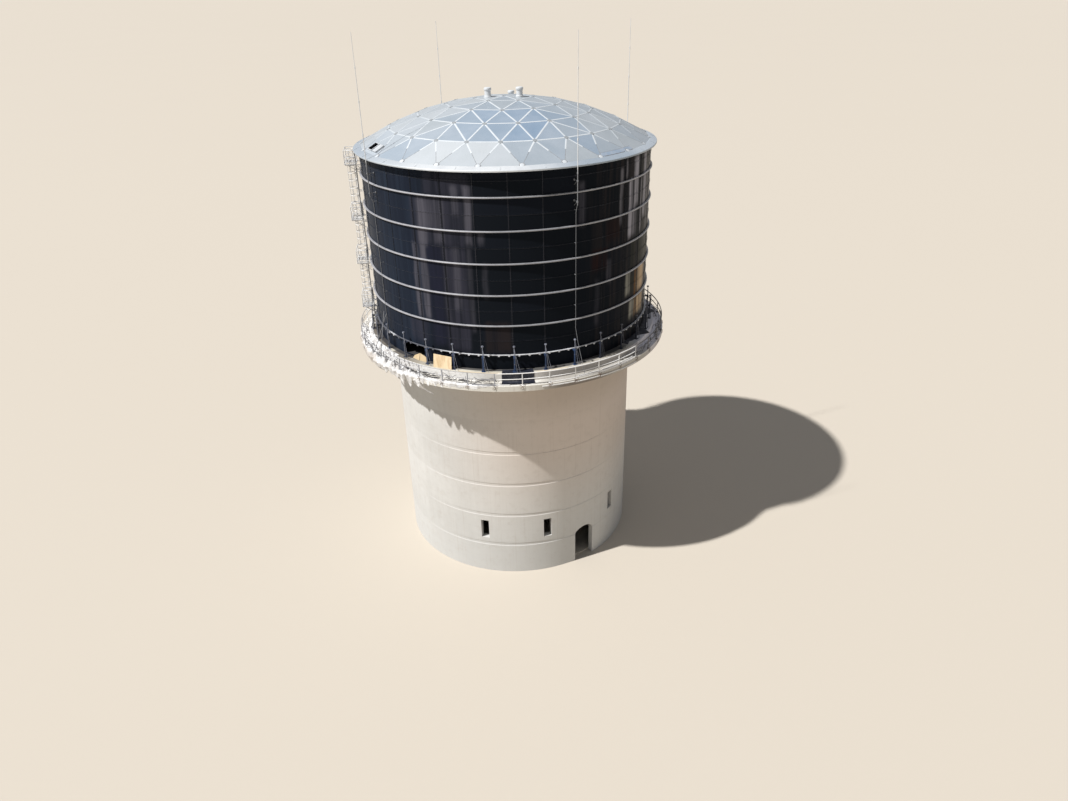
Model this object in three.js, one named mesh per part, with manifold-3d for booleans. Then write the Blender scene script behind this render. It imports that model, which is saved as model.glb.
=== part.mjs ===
// Water tower at half scale: a round cast concrete pedestal carries a bolted, enamelled
// steel tank with an aluminium geodesic dome. The origin is on the tower's axis at ground
// level, +Z up. An azimuth is measured in degrees from -Y, positive towards +X.
import * as THREE from 'three';
import { mergeVertices } from 'three/addons/utils/BufferGeometryUtils.js';
import Module from 'manifold-3d';

const wasm = await Module();
wasm.setup();

// Driving dimensions of the full-size tower, in millimetres. The group is scaled at the end.
const SCALE = 0.5;
const GAP = 1;
const ROUND_STEPS = 48;

const WALL_RADIUS = 10240;
const WALL_THICKNESS = 500;
const WALL_SEGMENTS = 10;
const FLOOR_THICKNESS = 150;

const DOOR_AZIMUTH = 33.8;
const DOOR_WIDTH = 1950;
const DOOR_SPRING = 2730;
const DOOR_RISE = 680;
const LINTEL_BASE = 2600;

const WINDOW_AZIMUTHS = [-16.9, 13.6, 53.3, 84.5];
const WINDOW_WIDTH = 690;
const WINDOW_HEIGHT = 1800;
const WINDOW_SILL = 3550;

const DECK_RADIUS = 13100;
const DECK_BASE = 19280;
const DECK_TOP = 19744;
const PLINTH_RADIUS = 12275;

const COURSE = 1163;
const SHELL_RADIUS = 11460;
const SHELL_THICKNESS = 80;
const SHELL_BASE = 20349;
const COURSES_PER_RING = [4, 3, 3, 2.5];
const MISSING_SHEET = [-48, -36];
const SHEET_LAP = 70;

const GIRDER_COUNT = 5;
const GIRDER_REACH = 236;
const GIRDER_HEIGHT = 110;
const LIFTING_RING_Z = SHELL_BASE + COURSE;

const JACK_COUNT = 32;
const JACK_RADIUS = 11920;
const JACK_TOP = 22420;
const JACK_ARCS = 4;
const JACK_TURN = 0.3;
const JACK_ARC_START = -7.5;

const RAIL_RADIUS = 12980;
const RAIL_POSTS = 40;
const RAIL_HEIGHT = 1000;
const RAIL_ARCS = 4;
const RAIL_TURN = 2.6;

const EAVE_RADIUS = 11340;
const EAVE_Z = 35215;
const DOME_RISE = 3096;
const DOME_RINGS = 4;
const EAVE_NODES = 24;
const DOME_TURN = -2.2;
const SKIN = 50;
const BATTEN_WIDTH = 150;
const BATTEN_HEIGHT = 45;
const RIM_RADIUS = 11865;
const RIM_Z = 34940;

const HATCH_SIZE = 700;
const HATCH_RIM = 60;
const HATCH_CURB = 180;
const HATCH_SHIFT = 440;
const HATCH_UP = 640;
const VENTS = [[-84, 1240], [76, 1250], [174.7, 6700]];
const VENT_HEIGHT = 660;

const LADDER_AZIMUTH = -84.1;
const LADDER_LEVELS = [SHELL_BASE, 22300, 26050, 29600, 33900];
const LADDER_STANDOFF = 330;
const LADDER_SIDE = 450;
const PLATFORM_START = 260;
const PLATFORM_DEPTH = 900;
const PLATFORM_WIDTH = 1880;

const MAST_AZIMUTHS = [-57, 23.5, 118.5, -152];
const MAST_RADIUS = 11960;
const MAST_BASE = 32350;
const MAST_TOP = 43250;
const MAST_STEPS = 5;

const material = (color, roughness, metalness) =>
  new THREE.MeshStandardMaterial({ color, roughness, metalness });
const concrete = material(0xddd5c8, 0.9, 0);
const screed = material(0xe6e3da, 0.85, 0);
const enamel = material(0x14161c, 0.25, 0.1);
const galvanised = material(0xb4b6ba, 0.45, 0.8);
const aluminium = material(0xd5dadd, 0.4, 0.7);
const jackBlue = material(0x2d4a78, 0.5, 0.3);

const tower = new THREE.Group();

function addPart(name, geometry, finish) {
  const mesh = new THREE.Mesh(geometry.scale(SCALE, SCALE, SCALE), finish);
  mesh.name = name;
  tower.add(mesh);
}

// Directions and places by azimuth.
const radians = THREE.MathUtils.degToRad;
const outward = (azimuth) =>
  new THREE.Vector3(Math.sin(radians(azimuth)), -Math.cos(radians(azimuth)), 0);
const sideways = (azimuth) =>
  new THREE.Vector3(Math.cos(radians(azimuth)), Math.sin(radians(azimuth)), 0);
const place = (azimuth, radius, height, along = 0) =>
  outward(azimuth).multiplyScalar(radius)
    .addScaledVector(sideways(azimuth), along)
    .setZ(height);

// A closed body swept round the axis: the profile lists [radius, height] counterclockwise.
function arcSolid(profile, from, to, steps) {
  const closed = to - from >= 360;
  const points = [];
  const faces = [];
  const count = profile.length;
  const stops = closed ? steps : steps + 1;
  for (let i = 0; i < stops; i += 1) {
    const azimuth = from + ((to - from) * i) / steps;
    for (const [radius, height] of profile) points.push(...place(azimuth, radius, height));
  }
  for (let i = 0; i < steps; i += 1) {
    const here = i * count;
    const next = ((i + 1) % stops) * count;
    for (let j = 0; j < count; j += 1) {
      const k = (j + 1) % count;
      faces.push([here + j, next + j, next + k], [here + j, next + k, here + k]);
    }
  }
  if (!closed) {
    const outline = profile.map(([radius, height]) => new THREE.Vector2(radius, height));
    const last = steps * count;
    for (const [a, b, c] of THREE.ShapeUtils.triangulateShape(outline, [])) {
      faces.push([a, b, c], [last + a, last + c, last + b]);
    }
  }
  const solid = faces.filter(([a, b, c]) => !thin(points, a, b, c)).flat();
  const geometry = new THREE.BufferGeometry();
  geometry.setAttribute('position', new THREE.Float32BufferAttribute(points, 3));
  geometry.setIndex(solid);
  return geometry;
}

// A triangle that has two corners at one place, as on the axis, is no face.
function thin(points, ...corners) {
  const [a, b, c] = corners.map((i) => new THREE.Vector3().fromArray(points, i * 3));
  return a.distanceTo(b) < GAP / 10 || b.distanceTo(c) < GAP / 10 || c.distanceTo(a) < GAP / 10;
}

const ringProfile = (inner, outer, low, high) =>
  [[inner, low], [outer, low], [outer, high], [inner, high]];
const ring = (inner, outer, low, high) =>
  arcSolid(ringProfile(inner, outer, low, high), 0, 360, ROUND_STEPS);
const disc = (radius, low, high) =>
  new THREE.CylinderGeometry(radius, radius, high - low, ROUND_STEPS)
    .rotateX(Math.PI / 2)
    .translate(0, 0, (low + high) / 2);

// A box or bar in the frame of an azimuth: depth is radial, width is along the wall.
function block(azimuth, radius, along, low, depth, width, height) {
  const middle = place(azimuth, radius, low + height / 2, along);
  return new THREE.BoxGeometry(depth, width, height)
    .rotateZ(radians(azimuth - 90))
    .translate(middle.x, middle.y, middle.z);
}

function bar(start, end, size, sides = 4) {
  const along = end.clone().sub(start);
  const turn = new THREE.Quaternion()
    .setFromUnitVectors(new THREE.Vector3(0, 1, 0), along.clone().normalize());
  const middle = start.clone().add(end).multiplyScalar(0.5);
  return new THREE.CylinderGeometry(size / 2, size / 2, along.length(), sides)
    .applyQuaternion(turn)
    .translate(middle.x, middle.y, middle.z);
}

// Booleans: geometry to solid and back.
function toSolid(geometry) {
  const bare = geometry.clone();
  bare.deleteAttribute('normal');
  bare.deleteAttribute('uv');
  const merged = mergeVertices(bare, 0.01);
  return new wasm.Manifold(new wasm.Mesh({
    numProp: 3,
    vertProperties: new Float32Array(merged.attributes.position.array),
    triVerts: new Uint32Array(merged.index.array),
  }));
}

function toGeometry(solid) {
  const mesh = solid.getMesh();
  const geometry = new THREE.BufferGeometry();
  geometry.setAttribute('position', new THREE.BufferAttribute(mesh.vertProperties, 3));
  geometry.setIndex(new THREE.BufferAttribute(mesh.triVerts, 1));
  return geometry;
}

const fuse = (pieces) =>
  toGeometry(pieces.map(toSolid).reduce((whole, piece) => whole.add(piece)));
const cut = (piece, tools) =>
  toGeometry(tools.map(toSolid).reduce((whole, tool) => whole.subtract(tool), toSolid(piece)));

// Pedestal: a cast wall in segments, with windows cut through, an arched doorway under its
// own lintel, and a floor slab inside.
const halfDoor = THREE.MathUtils.radToDeg(Math.asin(DOOR_WIDTH / 2 / WALL_RADIUS));
const wallProfile = (low) =>
  ringProfile(WALL_RADIUS - WALL_THICKNESS, WALL_RADIUS, low, DECK_BASE - GAP);
const gapAngle = THREE.MathUtils.radToDeg(GAP / WALL_RADIUS);
const segmentAngle = (360 - 2 * halfDoor) / WALL_SEGMENTS;

function windowCutter(azimuth) {
  return block(azimuth, WALL_RADIUS, 0, WINDOW_SILL, 4 * WALL_THICKNESS, WINDOW_WIDTH, WINDOW_HEIGHT);
}

for (let i = 0; i < WALL_SEGMENTS; i += 1) {
  const from = DOOR_AZIMUTH + halfDoor + i * segmentAngle;
  const to = from + segmentAngle - gapAngle;
  const holes = WINDOW_AZIMUTHS
    .map((azimuth) => (azimuth < from ? azimuth + 360 : azimuth))
    .filter((azimuth) => azimuth < to)
    .map(windowCutter);
  addPart(`pedestal_wall_${i + 1}`, cut(arcSolid(wallProfile(0), from, to, 6), holes), concrete);
}

function doorArch() {
  const arch = new THREE.Shape();
  arch.moveTo(DOOR_WIDTH / 2, LINTEL_BASE - DOOR_SPRING - WALL_THICKNESS);
  arch.lineTo(DOOR_WIDTH / 2, 0);
  arch.absellipse(0, 0, DOOR_WIDTH / 2, DOOR_RISE, 0, Math.PI);
  arch.lineTo(-DOOR_WIDTH / 2, LINTEL_BASE - DOOR_SPRING - WALL_THICKNESS);
  const depth = 4 * WALL_THICKNESS;
  const centre = place(DOOR_AZIMUTH, WALL_RADIUS, DOOR_SPRING);
  return new THREE.ExtrudeGeometry(arch, { depth, bevelEnabled: false, curveSegments: 12 })
    .translate(0, 0, -depth / 2)
    .rotateX(Math.PI / 2)
    .rotateZ(radians(DOOR_AZIMUTH))
    .translate(centre.x, centre.y, centre.z);
}

const lintel = arcSolid(
  wallProfile(LINTEL_BASE),
  DOOR_AZIMUTH - halfDoor + gapAngle,
  DOOR_AZIMUTH + halfDoor - gapAngle,
  4,
);
addPart('door_lintel', cut(lintel, [doorArch()]), concrete);
addPart('ground_floor', disc(WALL_RADIUS - WALL_THICKNESS - 14, 0, FLOOR_THICKNESS), concrete);

// Deck: a slab over the pedestal whose rim is the walkway, and the plinth under the tank.
addPart('deck_slab', disc(DECK_RADIUS, DECK_BASE, DECK_TOP), screed);
addPart('tank_plinth', disc(PLINTH_RADIUS, DECK_TOP, SHELL_BASE - GAP), screed);

// Tank shell: rings of bolted courses, each two courses stiffened by a wind girder.
// One sheet of the lowest course is missing, which leaves a way in between the jacks.
function missingSheet() {
  const lap = THREE.MathUtils.radToDeg(SHEET_LAP / SHELL_RADIUS);
  const profile = ringProfile(
    SHELL_RADIUS - 4 * SHELL_THICKNESS,
    SHELL_RADIUS + 4 * SHELL_THICKNESS,
    SHELL_BASE + SHEET_LAP,
    SHELL_BASE + COURSE - SHEET_LAP,
  );
  return arcSolid(profile, MISSING_SHEET[0] + lap, MISSING_SHEET[1] - lap, 2);
}

let ringBase = SHELL_BASE;
COURSES_PER_RING.forEach((courses, i) => {
  const ringTop = ringBase + courses * COURSE;
  const shellRing = ring(SHELL_RADIUS - SHELL_THICKNESS, SHELL_RADIUS, ringBase, ringTop - GAP);
  addPart(`shell_ring_${i + 1}`, i ? shellRing : cut(shellRing, [missingSheet()]), enamel);
  ringBase = ringTop;
});
const shellTop = ringBase;

for (let i = 1; i <= GIRDER_COUNT; i += 1) {
  const z = LIFTING_RING_Z + i * 2 * COURSE;
  const girder = ring(
    SHELL_RADIUS + GAP,
    SHELL_RADIUS + GIRDER_REACH,
    z - GIRDER_HEIGHT / 2,
    z + GIRDER_HEIGHT / 2,
  );
  addPart(`wind_girder_${i}`, girder, galvanised);
}

// Jacking ring: an angle round the lowest seam that the jacks hold, eight jacks to an arc.
function jack(azimuth) {
  const head = JACK_TOP - 90;
  const reach = JACK_RADIUS - SHELL_RADIUS - 60;
  return [
    block(azimuth, JACK_RADIUS, 0, SHELL_BASE, 120, 120, JACK_TOP - SHELL_BASE),
    block(azimuth, JACK_RADIUS, 0, head, 150, 420, 90),
    block(azimuth, (SHELL_RADIUS + 60 + JACK_RADIUS) / 2, 0, LIFTING_RING_Z - 45, reach, 90, 90),
    bar(place(azimuth, JACK_RADIUS, head), place(azimuth, JACK_RADIUS, SHELL_BASE + 40, 420), 80),
  ];
}

for (let i = 0; i < JACK_ARCS; i += 1) {
  const span = 360 / JACK_ARCS;
  const from = i * span + JACK_ARC_START;
  const profile = ringProfile(
    SHELL_RADIUS + GAP,
    SHELL_RADIUS + 190,
    LIFTING_RING_Z - 60,
    LIFTING_RING_Z + 60,
  );
  const pieces = [arcSolid(profile, from + gapAngle, from + span - gapAngle, ROUND_STEPS / JACK_ARCS)];
  for (let j = 0; j < JACK_COUNT / JACK_ARCS; j += 1) {
    pieces.push(...jack(i * span + JACK_TURN + (j * 360) / JACK_COUNT));
  }
  addPart(`jacking_ring_${i + 1}`, fuse(pieces), jackBlue);
}

// Walkway handrail: posts with a top rail and a knee rail.
for (let i = 0; i < RAIL_ARCS; i += 1) {
  const span = 360 / RAIL_ARCS;
  const from = i * span + RAIL_TURN - 180 / RAIL_POSTS;
  const steps = RAIL_POSTS / RAIL_ARCS;
  const rail = (height) => arcSolid(
    ringProfile(RAIL_RADIUS - 35, RAIL_RADIUS + 35, DECK_TOP + height - 35, DECK_TOP + height + 35),
    from + gapAngle,
    from + span - gapAngle,
    steps,
  );
  const pieces = [rail(RAIL_HEIGHT - 35), rail(RAIL_HEIGHT / 2)];
  for (let j = 0; j < steps; j += 1) {
    const azimuth = from + ((j + 0.5) * 360) / RAIL_POSTS;
    const chord = RAIL_RADIUS * Math.cos(radians(180 / RAIL_POSTS));
    pieces.push(block(azimuth, chord, 0, DECK_TOP, 60, 60, RAIL_HEIGHT - 40));
  }
  addPart(`handrail_${i + 1}`, fuse(pieces), galvanised);
}

// Dome: flat triangular panels between the nodes of a lattice on a sphere.
const sphereRadius = (EAVE_RADIUS ** 2 + DOME_RISE ** 2) / (2 * DOME_RISE);
const domeHeight = (radius) =>
  EAVE_Z + DOME_RISE - sphereRadius + Math.sqrt(sphereRadius ** 2 - radius ** 2);

function domeRing(index) {
  const onEave = index > DOME_RINGS;
  const count = onEave ? EAVE_NODES : Math.max(6 * index, 1);
  const radius = (EAVE_RADIUS * index) / (DOME_RINGS + 1);
  const shift = onEave ? 180 / EAVE_NODES : 0;
  return Array.from({ length: count }, (_, i) =>
    place(DOME_TURN + 30 + shift + (i * 360) / count, radius, domeHeight(radius)));
}

const domeRings = Array.from({ length: DOME_RINGS + 2 }, (_, i) => domeRing(i));
const ringStarts = domeRings.map((_, i) =>
  domeRings.slice(0, i).reduce((total, nodes) => total + nodes.length, 0));
const domeNodes = domeRings.flat();

// The panels between two rings, counterclockwise seen from above.
function domePanels() {
  const panels = [];
  const at = (index, i) => {
    const count = domeRings[index].length;
    return ringStarts[index] + ((i % count) + count) % count;
  };
  for (let k = 1; k <= DOME_RINGS; k += 1) {
    for (let sector = 0; sector < 6; sector += 1) {
      for (let i = 0; i < k; i += 1) {
        const outer = sector * k + i;
        const inner = sector * (k - 1) + i;
        panels.push([at(k, outer), at(k, outer + 1), at(k - 1, inner)]);
        if (i < k - 1) panels.push([at(k, outer + 1), at(k - 1, inner + 1), at(k - 1, inner)]);
      }
    }
  }
  for (let i = 0; i < EAVE_NODES; i += 1) {
    const eave = DOME_RINGS + 1;
    panels.push([at(eave, i), at(DOME_RINGS, i + 1), at(DOME_RINGS, i)]);
    panels.push([at(eave, i), at(eave, i + 1), at(DOME_RINGS, i + 1)]);
  }
  return panels;
}

// The dome's panels as a closed body: a top and a bottom sheet joined round the eave. With
// battens, each panel lies between strips that are raised along the lattice.
function domeBody(topLift, bottomHeight, battens = false) {
  const count = domeNodes.length;
  const eaveStart = ringStarts[DOME_RINGS + 1];
  const lift = new THREE.Vector3(0, 0, topLift);
  const points = domeNodes.map((node) => node.clone().add(lift))
    .concat(domeNodes.map(({ x, y, z }) => new THREE.Vector3(x, y, bottomHeight(z))));
  const faces = [];
  for (const [a, b, c] of domePanels()) {
    faces.push(count + a, count + c, count + b);
    if (battens) faces.push(...battenedPanel(points, [a, b, c]));
    else faces.push(a, b, c);
  }
  for (let i = 0; i < EAVE_NODES; i += 1) {
    const here = eaveStart + i;
    const next = eaveStart + ((i + 1) % EAVE_NODES);
    faces.push(here, count + here, count + next, here, count + next, next);
  }
  const geometry = new THREE.BufferGeometry();
  const places = points.flatMap((point) => point.toArray());
  geometry.setAttribute('position', new THREE.Float32BufferAttribute(places, 3));
  geometry.setIndex(faces);
  return geometry;
}

// One panel: half a batten along each edge, its step down, and the sheet between them.
function battenedPanel(points, corners) {
  const sides = corners.map((corner, i) =>
    points[corner].distanceTo(points[corners[(i + 1) % 3]]));
  const half = (sides[0] + sides[1] + sides[2]) / 2;
  const inRadius = Math.sqrt(half * (half - sides[0]) * (half - sides[1]) * (half - sides[2])) / half;
  const shrink = 1 - BATTEN_WIDTH / 2 / inRadius;
  const incentre = new THREE.Vector3();
  corners.forEach((corner, i) =>
    incentre.addScaledVector(points[corner], sides[(i + 1) % 3] / (2 * half)));
  const edge = corners.map((corner) => points[corner].clone().sub(incentre).multiplyScalar(shrink).add(incentre));
  const first = points.length;
  points.push(...edge, ...edge.map((point) => point.clone().setZ(point.z - BATTEN_HEIGHT)));
  const faces = [first + 3, first + 4, first + 5];
  for (let i = 0; i < 3; i += 1) {
    const j = (i + 1) % 3;
    faces.push(corners[i], corners[j], first + j, corners[i], first + j, first + i);
    faces.push(first + i, first + j, first + 3 + j, first + i, first + 3 + j, first + 3 + i);
  }
  return faces;
}

// What stands on the dome is trimmed by the space under its panels.
const underDome = domeBody(GAP, () => EAVE_Z - 2000);

const HATCH_TURN = -62.2;
const ringStep = EAVE_RADIUS / (DOME_RINGS + 1);
const eaveChord = EAVE_RADIUS * Math.cos(Math.PI / EAVE_NODES);
const panelSlope = Math.atan2(domeHeight(DOME_RINGS * ringStep) - EAVE_Z, eaveChord - DOME_RINGS * ringStep);

// A block lying on the eave panel that holds the hatch: up runs up the slope.
function panelBlock(along, up, lift, width, length, height) {
  const foot = place(HATCH_TURN, eaveChord, EAVE_Z);
  return new THREE.BoxGeometry(length, width, height)
    .translate(-up, along, lift + height / 2)
    .rotateY(panelSlope)
    .rotateZ(radians(HATCH_TURN - 90))
    .translate(foot.x, foot.y, foot.z);
}

const hatchHole = panelBlock(-HATCH_SHIFT, HATCH_UP, -1500, HATCH_SIZE, HATCH_SIZE, 3000);
addPart('dome_panels', cut(domeBody(0, (z) => z - BATTEN_HEIGHT - SKIN, true), [hatchHole]), aluminium);

const hatchOuter = HATCH_SIZE + 2 * HATCH_RIM;
const curb = panelBlock(-HATCH_SHIFT, HATCH_UP, GAP, hatchOuter, hatchOuter, HATCH_CURB);
const lidTop = HATCH_CURB - 40;
const hatch = fuse([
  cut(curb, [hatchHole]),
  panelBlock(-HATCH_SHIFT + hatchOuter / 2 + 50, HATCH_UP, lidTop - 60, 180, 300, 80),
  panelBlock(HATCH_SHIFT + 30, HATCH_UP, lidTop, hatchOuter, hatchOuter, 60),
  panelBlock(HATCH_SHIFT + 200, HATCH_UP, GAP, 80, 300, lidTop),
]);
addPart('roof_hatch', hatch, aluminium);

// Mushroom vents near the crown, their stems trimmed to the panels.
VENTS.forEach(([azimuth, radius], i) => {
  const foot = domeHeight(radius);
  const top = foot + VENT_HEIGHT;
  const centre = place(azimuth, radius, 0);
  const profile = [
    [0, foot - 300], [224, foot - 300], [224, top - 250], [290, top - 250], [290, top - 80], [0, top],
  ].map(([r, z]) => new THREE.Vector2(r, z));
  const vent = new THREE.LatheGeometry(profile, 12)
    .rotateX(Math.PI / 2)
    .translate(centre.x, centre.y, 0);
  addPart(`roof_vent_${i + 1}`, cut(vent, [underDome]), aluminium);
});

const skirtTop = EAVE_Z - BATTEN_HEIGHT - SKIN - GAP;
const skirtProfile = [
  [SHELL_RADIUS - SHELL_THICKNESS, shellTop],
  [SHELL_RADIUS, shellTop],
  [SHELL_RADIUS + 20, RIM_Z + 95],
  [RIM_RADIUS, RIM_Z],
  [RIM_RADIUS, RIM_Z + 50],
  [EAVE_RADIUS + 40, skirtTop],
  [EAVE_RADIUS - 280, skirtTop],
  [EAVE_RADIUS - 280, skirtTop - 60],
  [SHELL_RADIUS - SHELL_THICKNESS, skirtTop - 60],
];
addPart('eave_skirt', arcSolid(skirtProfile, 0, 360, ROUND_STEPS), aluminium);

// Ladder: caged flights between rest platforms, the offset of each flight changing sides.
const ladderRadius = SHELL_RADIUS + LADDER_STANDOFF;
const CAGE_OUTLINE = [[0, -230], [250, -360], [650, -180], [650, 180], [250, 360], [0, 230]];

function cageHoop(centre, z) {
  const corners = CAGE_OUTLINE.map(([reach, along]) =>
    place(LADDER_AZIMUTH, ladderRadius + reach, z, centre + along));
  return corners.slice(1).map((corner, i) => bar(corners[i], corner, 45, 3));
}

function flight(low, high, centre) {
  const post = (along, reach, from, to, size, sides) => bar(
    place(LADDER_AZIMUTH, ladderRadius + reach, from, centre + along),
    place(LADDER_AZIMUTH, ladderRadius + reach, to, centre + along),
    size,
    sides,
  );
  const pieces = [post(-230, 0, low, high + 1000, 70), post(230, 0, low, high + 1000, 70)];
  for (let z = low + 300; z < high - 100; z += 300) {
    pieces.push(bar(
      place(LADDER_AZIMUTH, ladderRadius, z, centre - 230),
      place(LADDER_AZIMUTH, ladderRadius, z, centre + 230),
      36,
      3,
    ));
  }
  const hoops = [];
  for (let z = high + 1000; z > low + 2100; z -= 1300) hoops.push(z);
  hoops.forEach((z) => pieces.push(...cageHoop(centre, z)));
  CAGE_OUTLINE.slice(1, -1).forEach(([reach, along]) =>
    pieces.push(post(along, reach, hoops.at(-1) - 20, high + 1020, 45, 3)));
  for (const z of [low + 700, high - 500]) {
    for (const side of [-1, 1]) {
      pieces.push(bar(
        place(LADDER_AZIMUTH, SHELL_RADIUS + 4 * GAP, z, centre + side * 230),
        place(LADDER_AZIMUTH, ladderRadius, z, centre + side * 230),
        60,
      ));
    }
  }
  return pieces;
}

function restPlatform(level, hatchCentre) {
  const inner = SHELL_RADIUS + PLATFORM_START;
  const middle = inner + PLATFORM_DEPTH / 2;
  const floor = block(LADDER_AZIMUTH, middle, 0, level - 60, PLATFORM_DEPTH, PLATFORM_WIDTH, 60);
  const well = block(LADDER_AZIMUTH, middle + 40, hatchCentre, level - 300, PLATFORM_DEPTH - 160, 720, 600);
  const corner = (reach, side, z) =>
    place(LADDER_AZIMUTH, inner + reach, z, side * (PLATFORM_WIDTH / 2 - 40));
  const pieces = [cut(floor, [well])];
  for (const side of [-1, 1]) {
    for (const reach of [60, PLATFORM_DEPTH - 40]) {
      pieces.push(bar(corner(reach, side, level - 40), corner(reach, side, level + 1000), 60));
    }
    for (const z of [level + 500, level + 980]) {
      pieces.push(bar(corner(60, side, z), corner(PLATFORM_DEPTH - 40, side, z), 50));
    }
    const along = side * (PLATFORM_WIDTH / 2 - 120);
    const arm = PLATFORM_START + PLATFORM_DEPTH - 20;
    pieces.push(block(LADDER_AZIMUTH, SHELL_RADIUS + 4 * GAP + arm / 2, along, level - 180, arm, 80, 130));
  }
  for (const z of [level + 500, level + 980]) {
    pieces.push(bar(corner(PLATFORM_DEPTH - 40, -1, z), corner(PLATFORM_DEPTH - 40, 1, z), 50));
  }
  return pieces;
}

LADDER_LEVELS.slice(1).forEach((high, i) => {
  const low = LADDER_LEVELS[i] + (i ? GAP : 0);
  const centre = (i % 2 === 0 ? -1 : 1) * LADDER_SIDE;
  const pieces = [...flight(low, high, centre), ...restPlatform(high, centre)];
  addPart(`ladder_stage_${i + 1}`, fuse(pieces), galvanised);
});

// Lightning masts: stepped poles on two brackets, each with a conductor down to the deck.
function mast(azimuth) {
  const at = (radius, z) => place(azimuth, radius, z);
  const length = (MAST_TOP - MAST_BASE) / MAST_STEPS;
  const pieces = [];
  for (let i = 0; i < MAST_STEPS; i += 1) {
    const low = MAST_BASE + i * length - (i ? 60 : 0);
    pieces.push(bar(at(MAST_RADIUS, low), at(MAST_RADIUS, MAST_BASE + (i + 1) * length), 110 - 18 * i));
  }
  for (const z of [MAST_BASE + 250, MAST_BASE + 1650]) {
    pieces.push(bar(at(SHELL_RADIUS + 4 * GAP, z), at(MAST_RADIUS + 40, z), 80));
  }
  const run = SHELL_RADIUS + GIRDER_REACH + 45;
  pieces.push(bar(at(MAST_RADIUS, MAST_BASE + 100), at(run, MAST_BASE - 500), 50));
  pieces.push(bar(at(run, MAST_BASE - 460), at(run, SHELL_BASE), 50));
  return fuse(pieces);
}

MAST_AZIMUTHS.forEach((azimuth, i) => addPart(`lightning_mast_${i + 1}`, mast(azimuth), galvanised));

export default tower;
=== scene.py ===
import math
import random

import bmesh
import bpy
from mathutils import Matrix, Vector, noise


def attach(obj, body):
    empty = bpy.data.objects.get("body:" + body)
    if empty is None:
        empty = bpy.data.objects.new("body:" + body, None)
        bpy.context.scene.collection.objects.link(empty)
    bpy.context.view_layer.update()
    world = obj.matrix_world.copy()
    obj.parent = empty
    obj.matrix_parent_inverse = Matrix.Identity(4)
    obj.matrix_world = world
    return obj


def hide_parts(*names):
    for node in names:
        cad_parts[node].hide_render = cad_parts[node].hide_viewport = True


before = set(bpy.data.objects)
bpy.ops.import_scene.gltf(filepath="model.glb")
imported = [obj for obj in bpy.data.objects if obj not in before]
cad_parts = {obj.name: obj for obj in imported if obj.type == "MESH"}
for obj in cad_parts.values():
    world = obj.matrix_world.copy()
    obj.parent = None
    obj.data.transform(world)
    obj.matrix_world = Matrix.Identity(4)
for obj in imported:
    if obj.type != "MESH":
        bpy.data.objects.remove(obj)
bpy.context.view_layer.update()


def outward(azimuth):
    """The level direction away from the axis; azimuth 0 is -Y and +90 is +X."""
    angle = math.radians(azimuth)
    return Vector((math.sin(angle), -math.cos(angle), 0.0))


def at(azimuth, radius, height, along=0.0):
    """A place by its azimuth, its distance from the axis and its height."""
    return outward(azimuth) * radius + outward(azimuth + 90.0) * along + Vector((0.0, 0.0, height))


def between(value, low, high):
    """0 up to low, 1 from high on."""
    return min(1.0, max(0.0, (value - low) / (high - low)))


def within(azimuth, start, full, fading, end):
    """1 from full to fading, 0 before start and after end."""
    return between(azimuth, start, full) * between(-azimuth, -end, -fading)


def bearing(spot):
    """The azimuth of a place."""
    return math.degrees(math.atan2(spot.x, -spot.y))


def beside(radius, height, *offsets):
    """Corners of a profile, by how far out and up they are from one place."""
    return [(radius + out, height + up) for out, up in offsets]


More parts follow.
